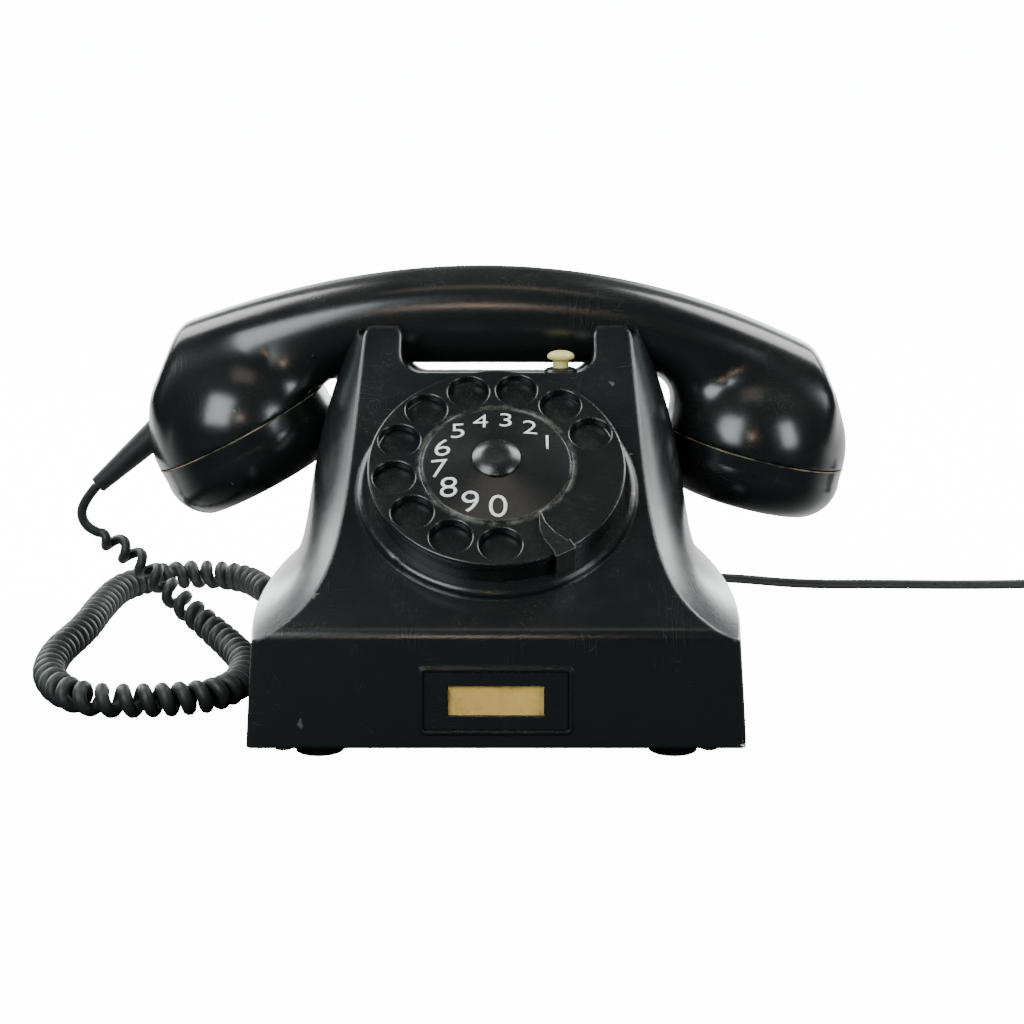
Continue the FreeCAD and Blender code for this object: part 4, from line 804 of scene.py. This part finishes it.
fibre_board, t, shader = finish("fibre")
place = node(t, "ShaderNodeTexCoord").outputs["Object"]
layer = noise(t, node(t, "ShaderNodeMapping", Vector=place, Scale=(1.0, 1.0, 12.0)).outputs[0], 300.0, 3.0)
wire(t, shader, Roughness=0.5,
     Base_Color=blend_colour(t, layer, (0.16, 0.07, 0.03, 1), (0.26, 0.13, 0.06, 1)))
finishes["fibre"] = fibre_board

winding, t, shader = finish("winding")
place = node(t, "ShaderNodeTexCoord").outputs["Object"]
turns_of = node(t, "ShaderNodeTexWave", {"bands_direction": "X"}, Vector=place, Scale=900.0,
                Distortion=0.4).outputs["Fac"]
wire(t, shader, Roughness=0.35,
     Base_Color=blend_colour(t, turns_of, (0.10, 0.03, 0.02, 1), (0.32, 0.13, 0.07, 1)),
     Normal=node(t, "ShaderNodeBump", Strength=0.5, Distance=0.0001, Height=turns_of).outputs["Normal"])
finishes["winding"] = winding

# ---------------------------------------------------------------- carried-over nodes
# Every CAD node takes the finish of its slot.
for part in frame["record"]["subparts"]:
    shown = frame["nodes"][part["node"]]
    shown.data.materials.clear()
    shown.data.materials.append(finishes[part["material_slot"]])
curly_cord.data.materials.append(finishes["cord_rubber"])
coil_tie.data.materials.append(finishes["foot_rubber"])
line_cord.data.materials.append(finishes["line_rubber"])
shell.data.materials.clear()
shell.data.materials.append(finishes["bakelite_handset"])

figure_paint, t, shader = finish("figure_paint")
place = node(t, "ShaderNodeTexCoord").outputs["Object"]
rubbed = band(t, noise(t, place, 1500.0, 3.0), 0.64, 0.74)
wire(t, shader, Roughness=0.55,
     Base_Color=blend_colour(t, maths(t, "MULTIPLY", rubbed, 0.5),
                             (0.86, 0.87, 0.86, 1), (0.35, 0.35, 0.34, 1)))
for figure in figures:
    figure.data.materials.clear()
    figure.data.materials.append(figure_paint)

seam_dust, t, shader = finish("seam_dust")
place = node(t, "ShaderNodeTexCoord").outputs["Object"]
caught = band(t, noise(t, place, 70.0, 4.0), 0.38, 0.62)
wire(t, shader, Roughness=0.9,
     Base_Color=blend_colour(t, caught, (0.02, 0.02, 0.018, 1), (0.34, 0.29, 0.20, 1)))
for seam in seams:
    seam.data.materials.append(seam_dust)
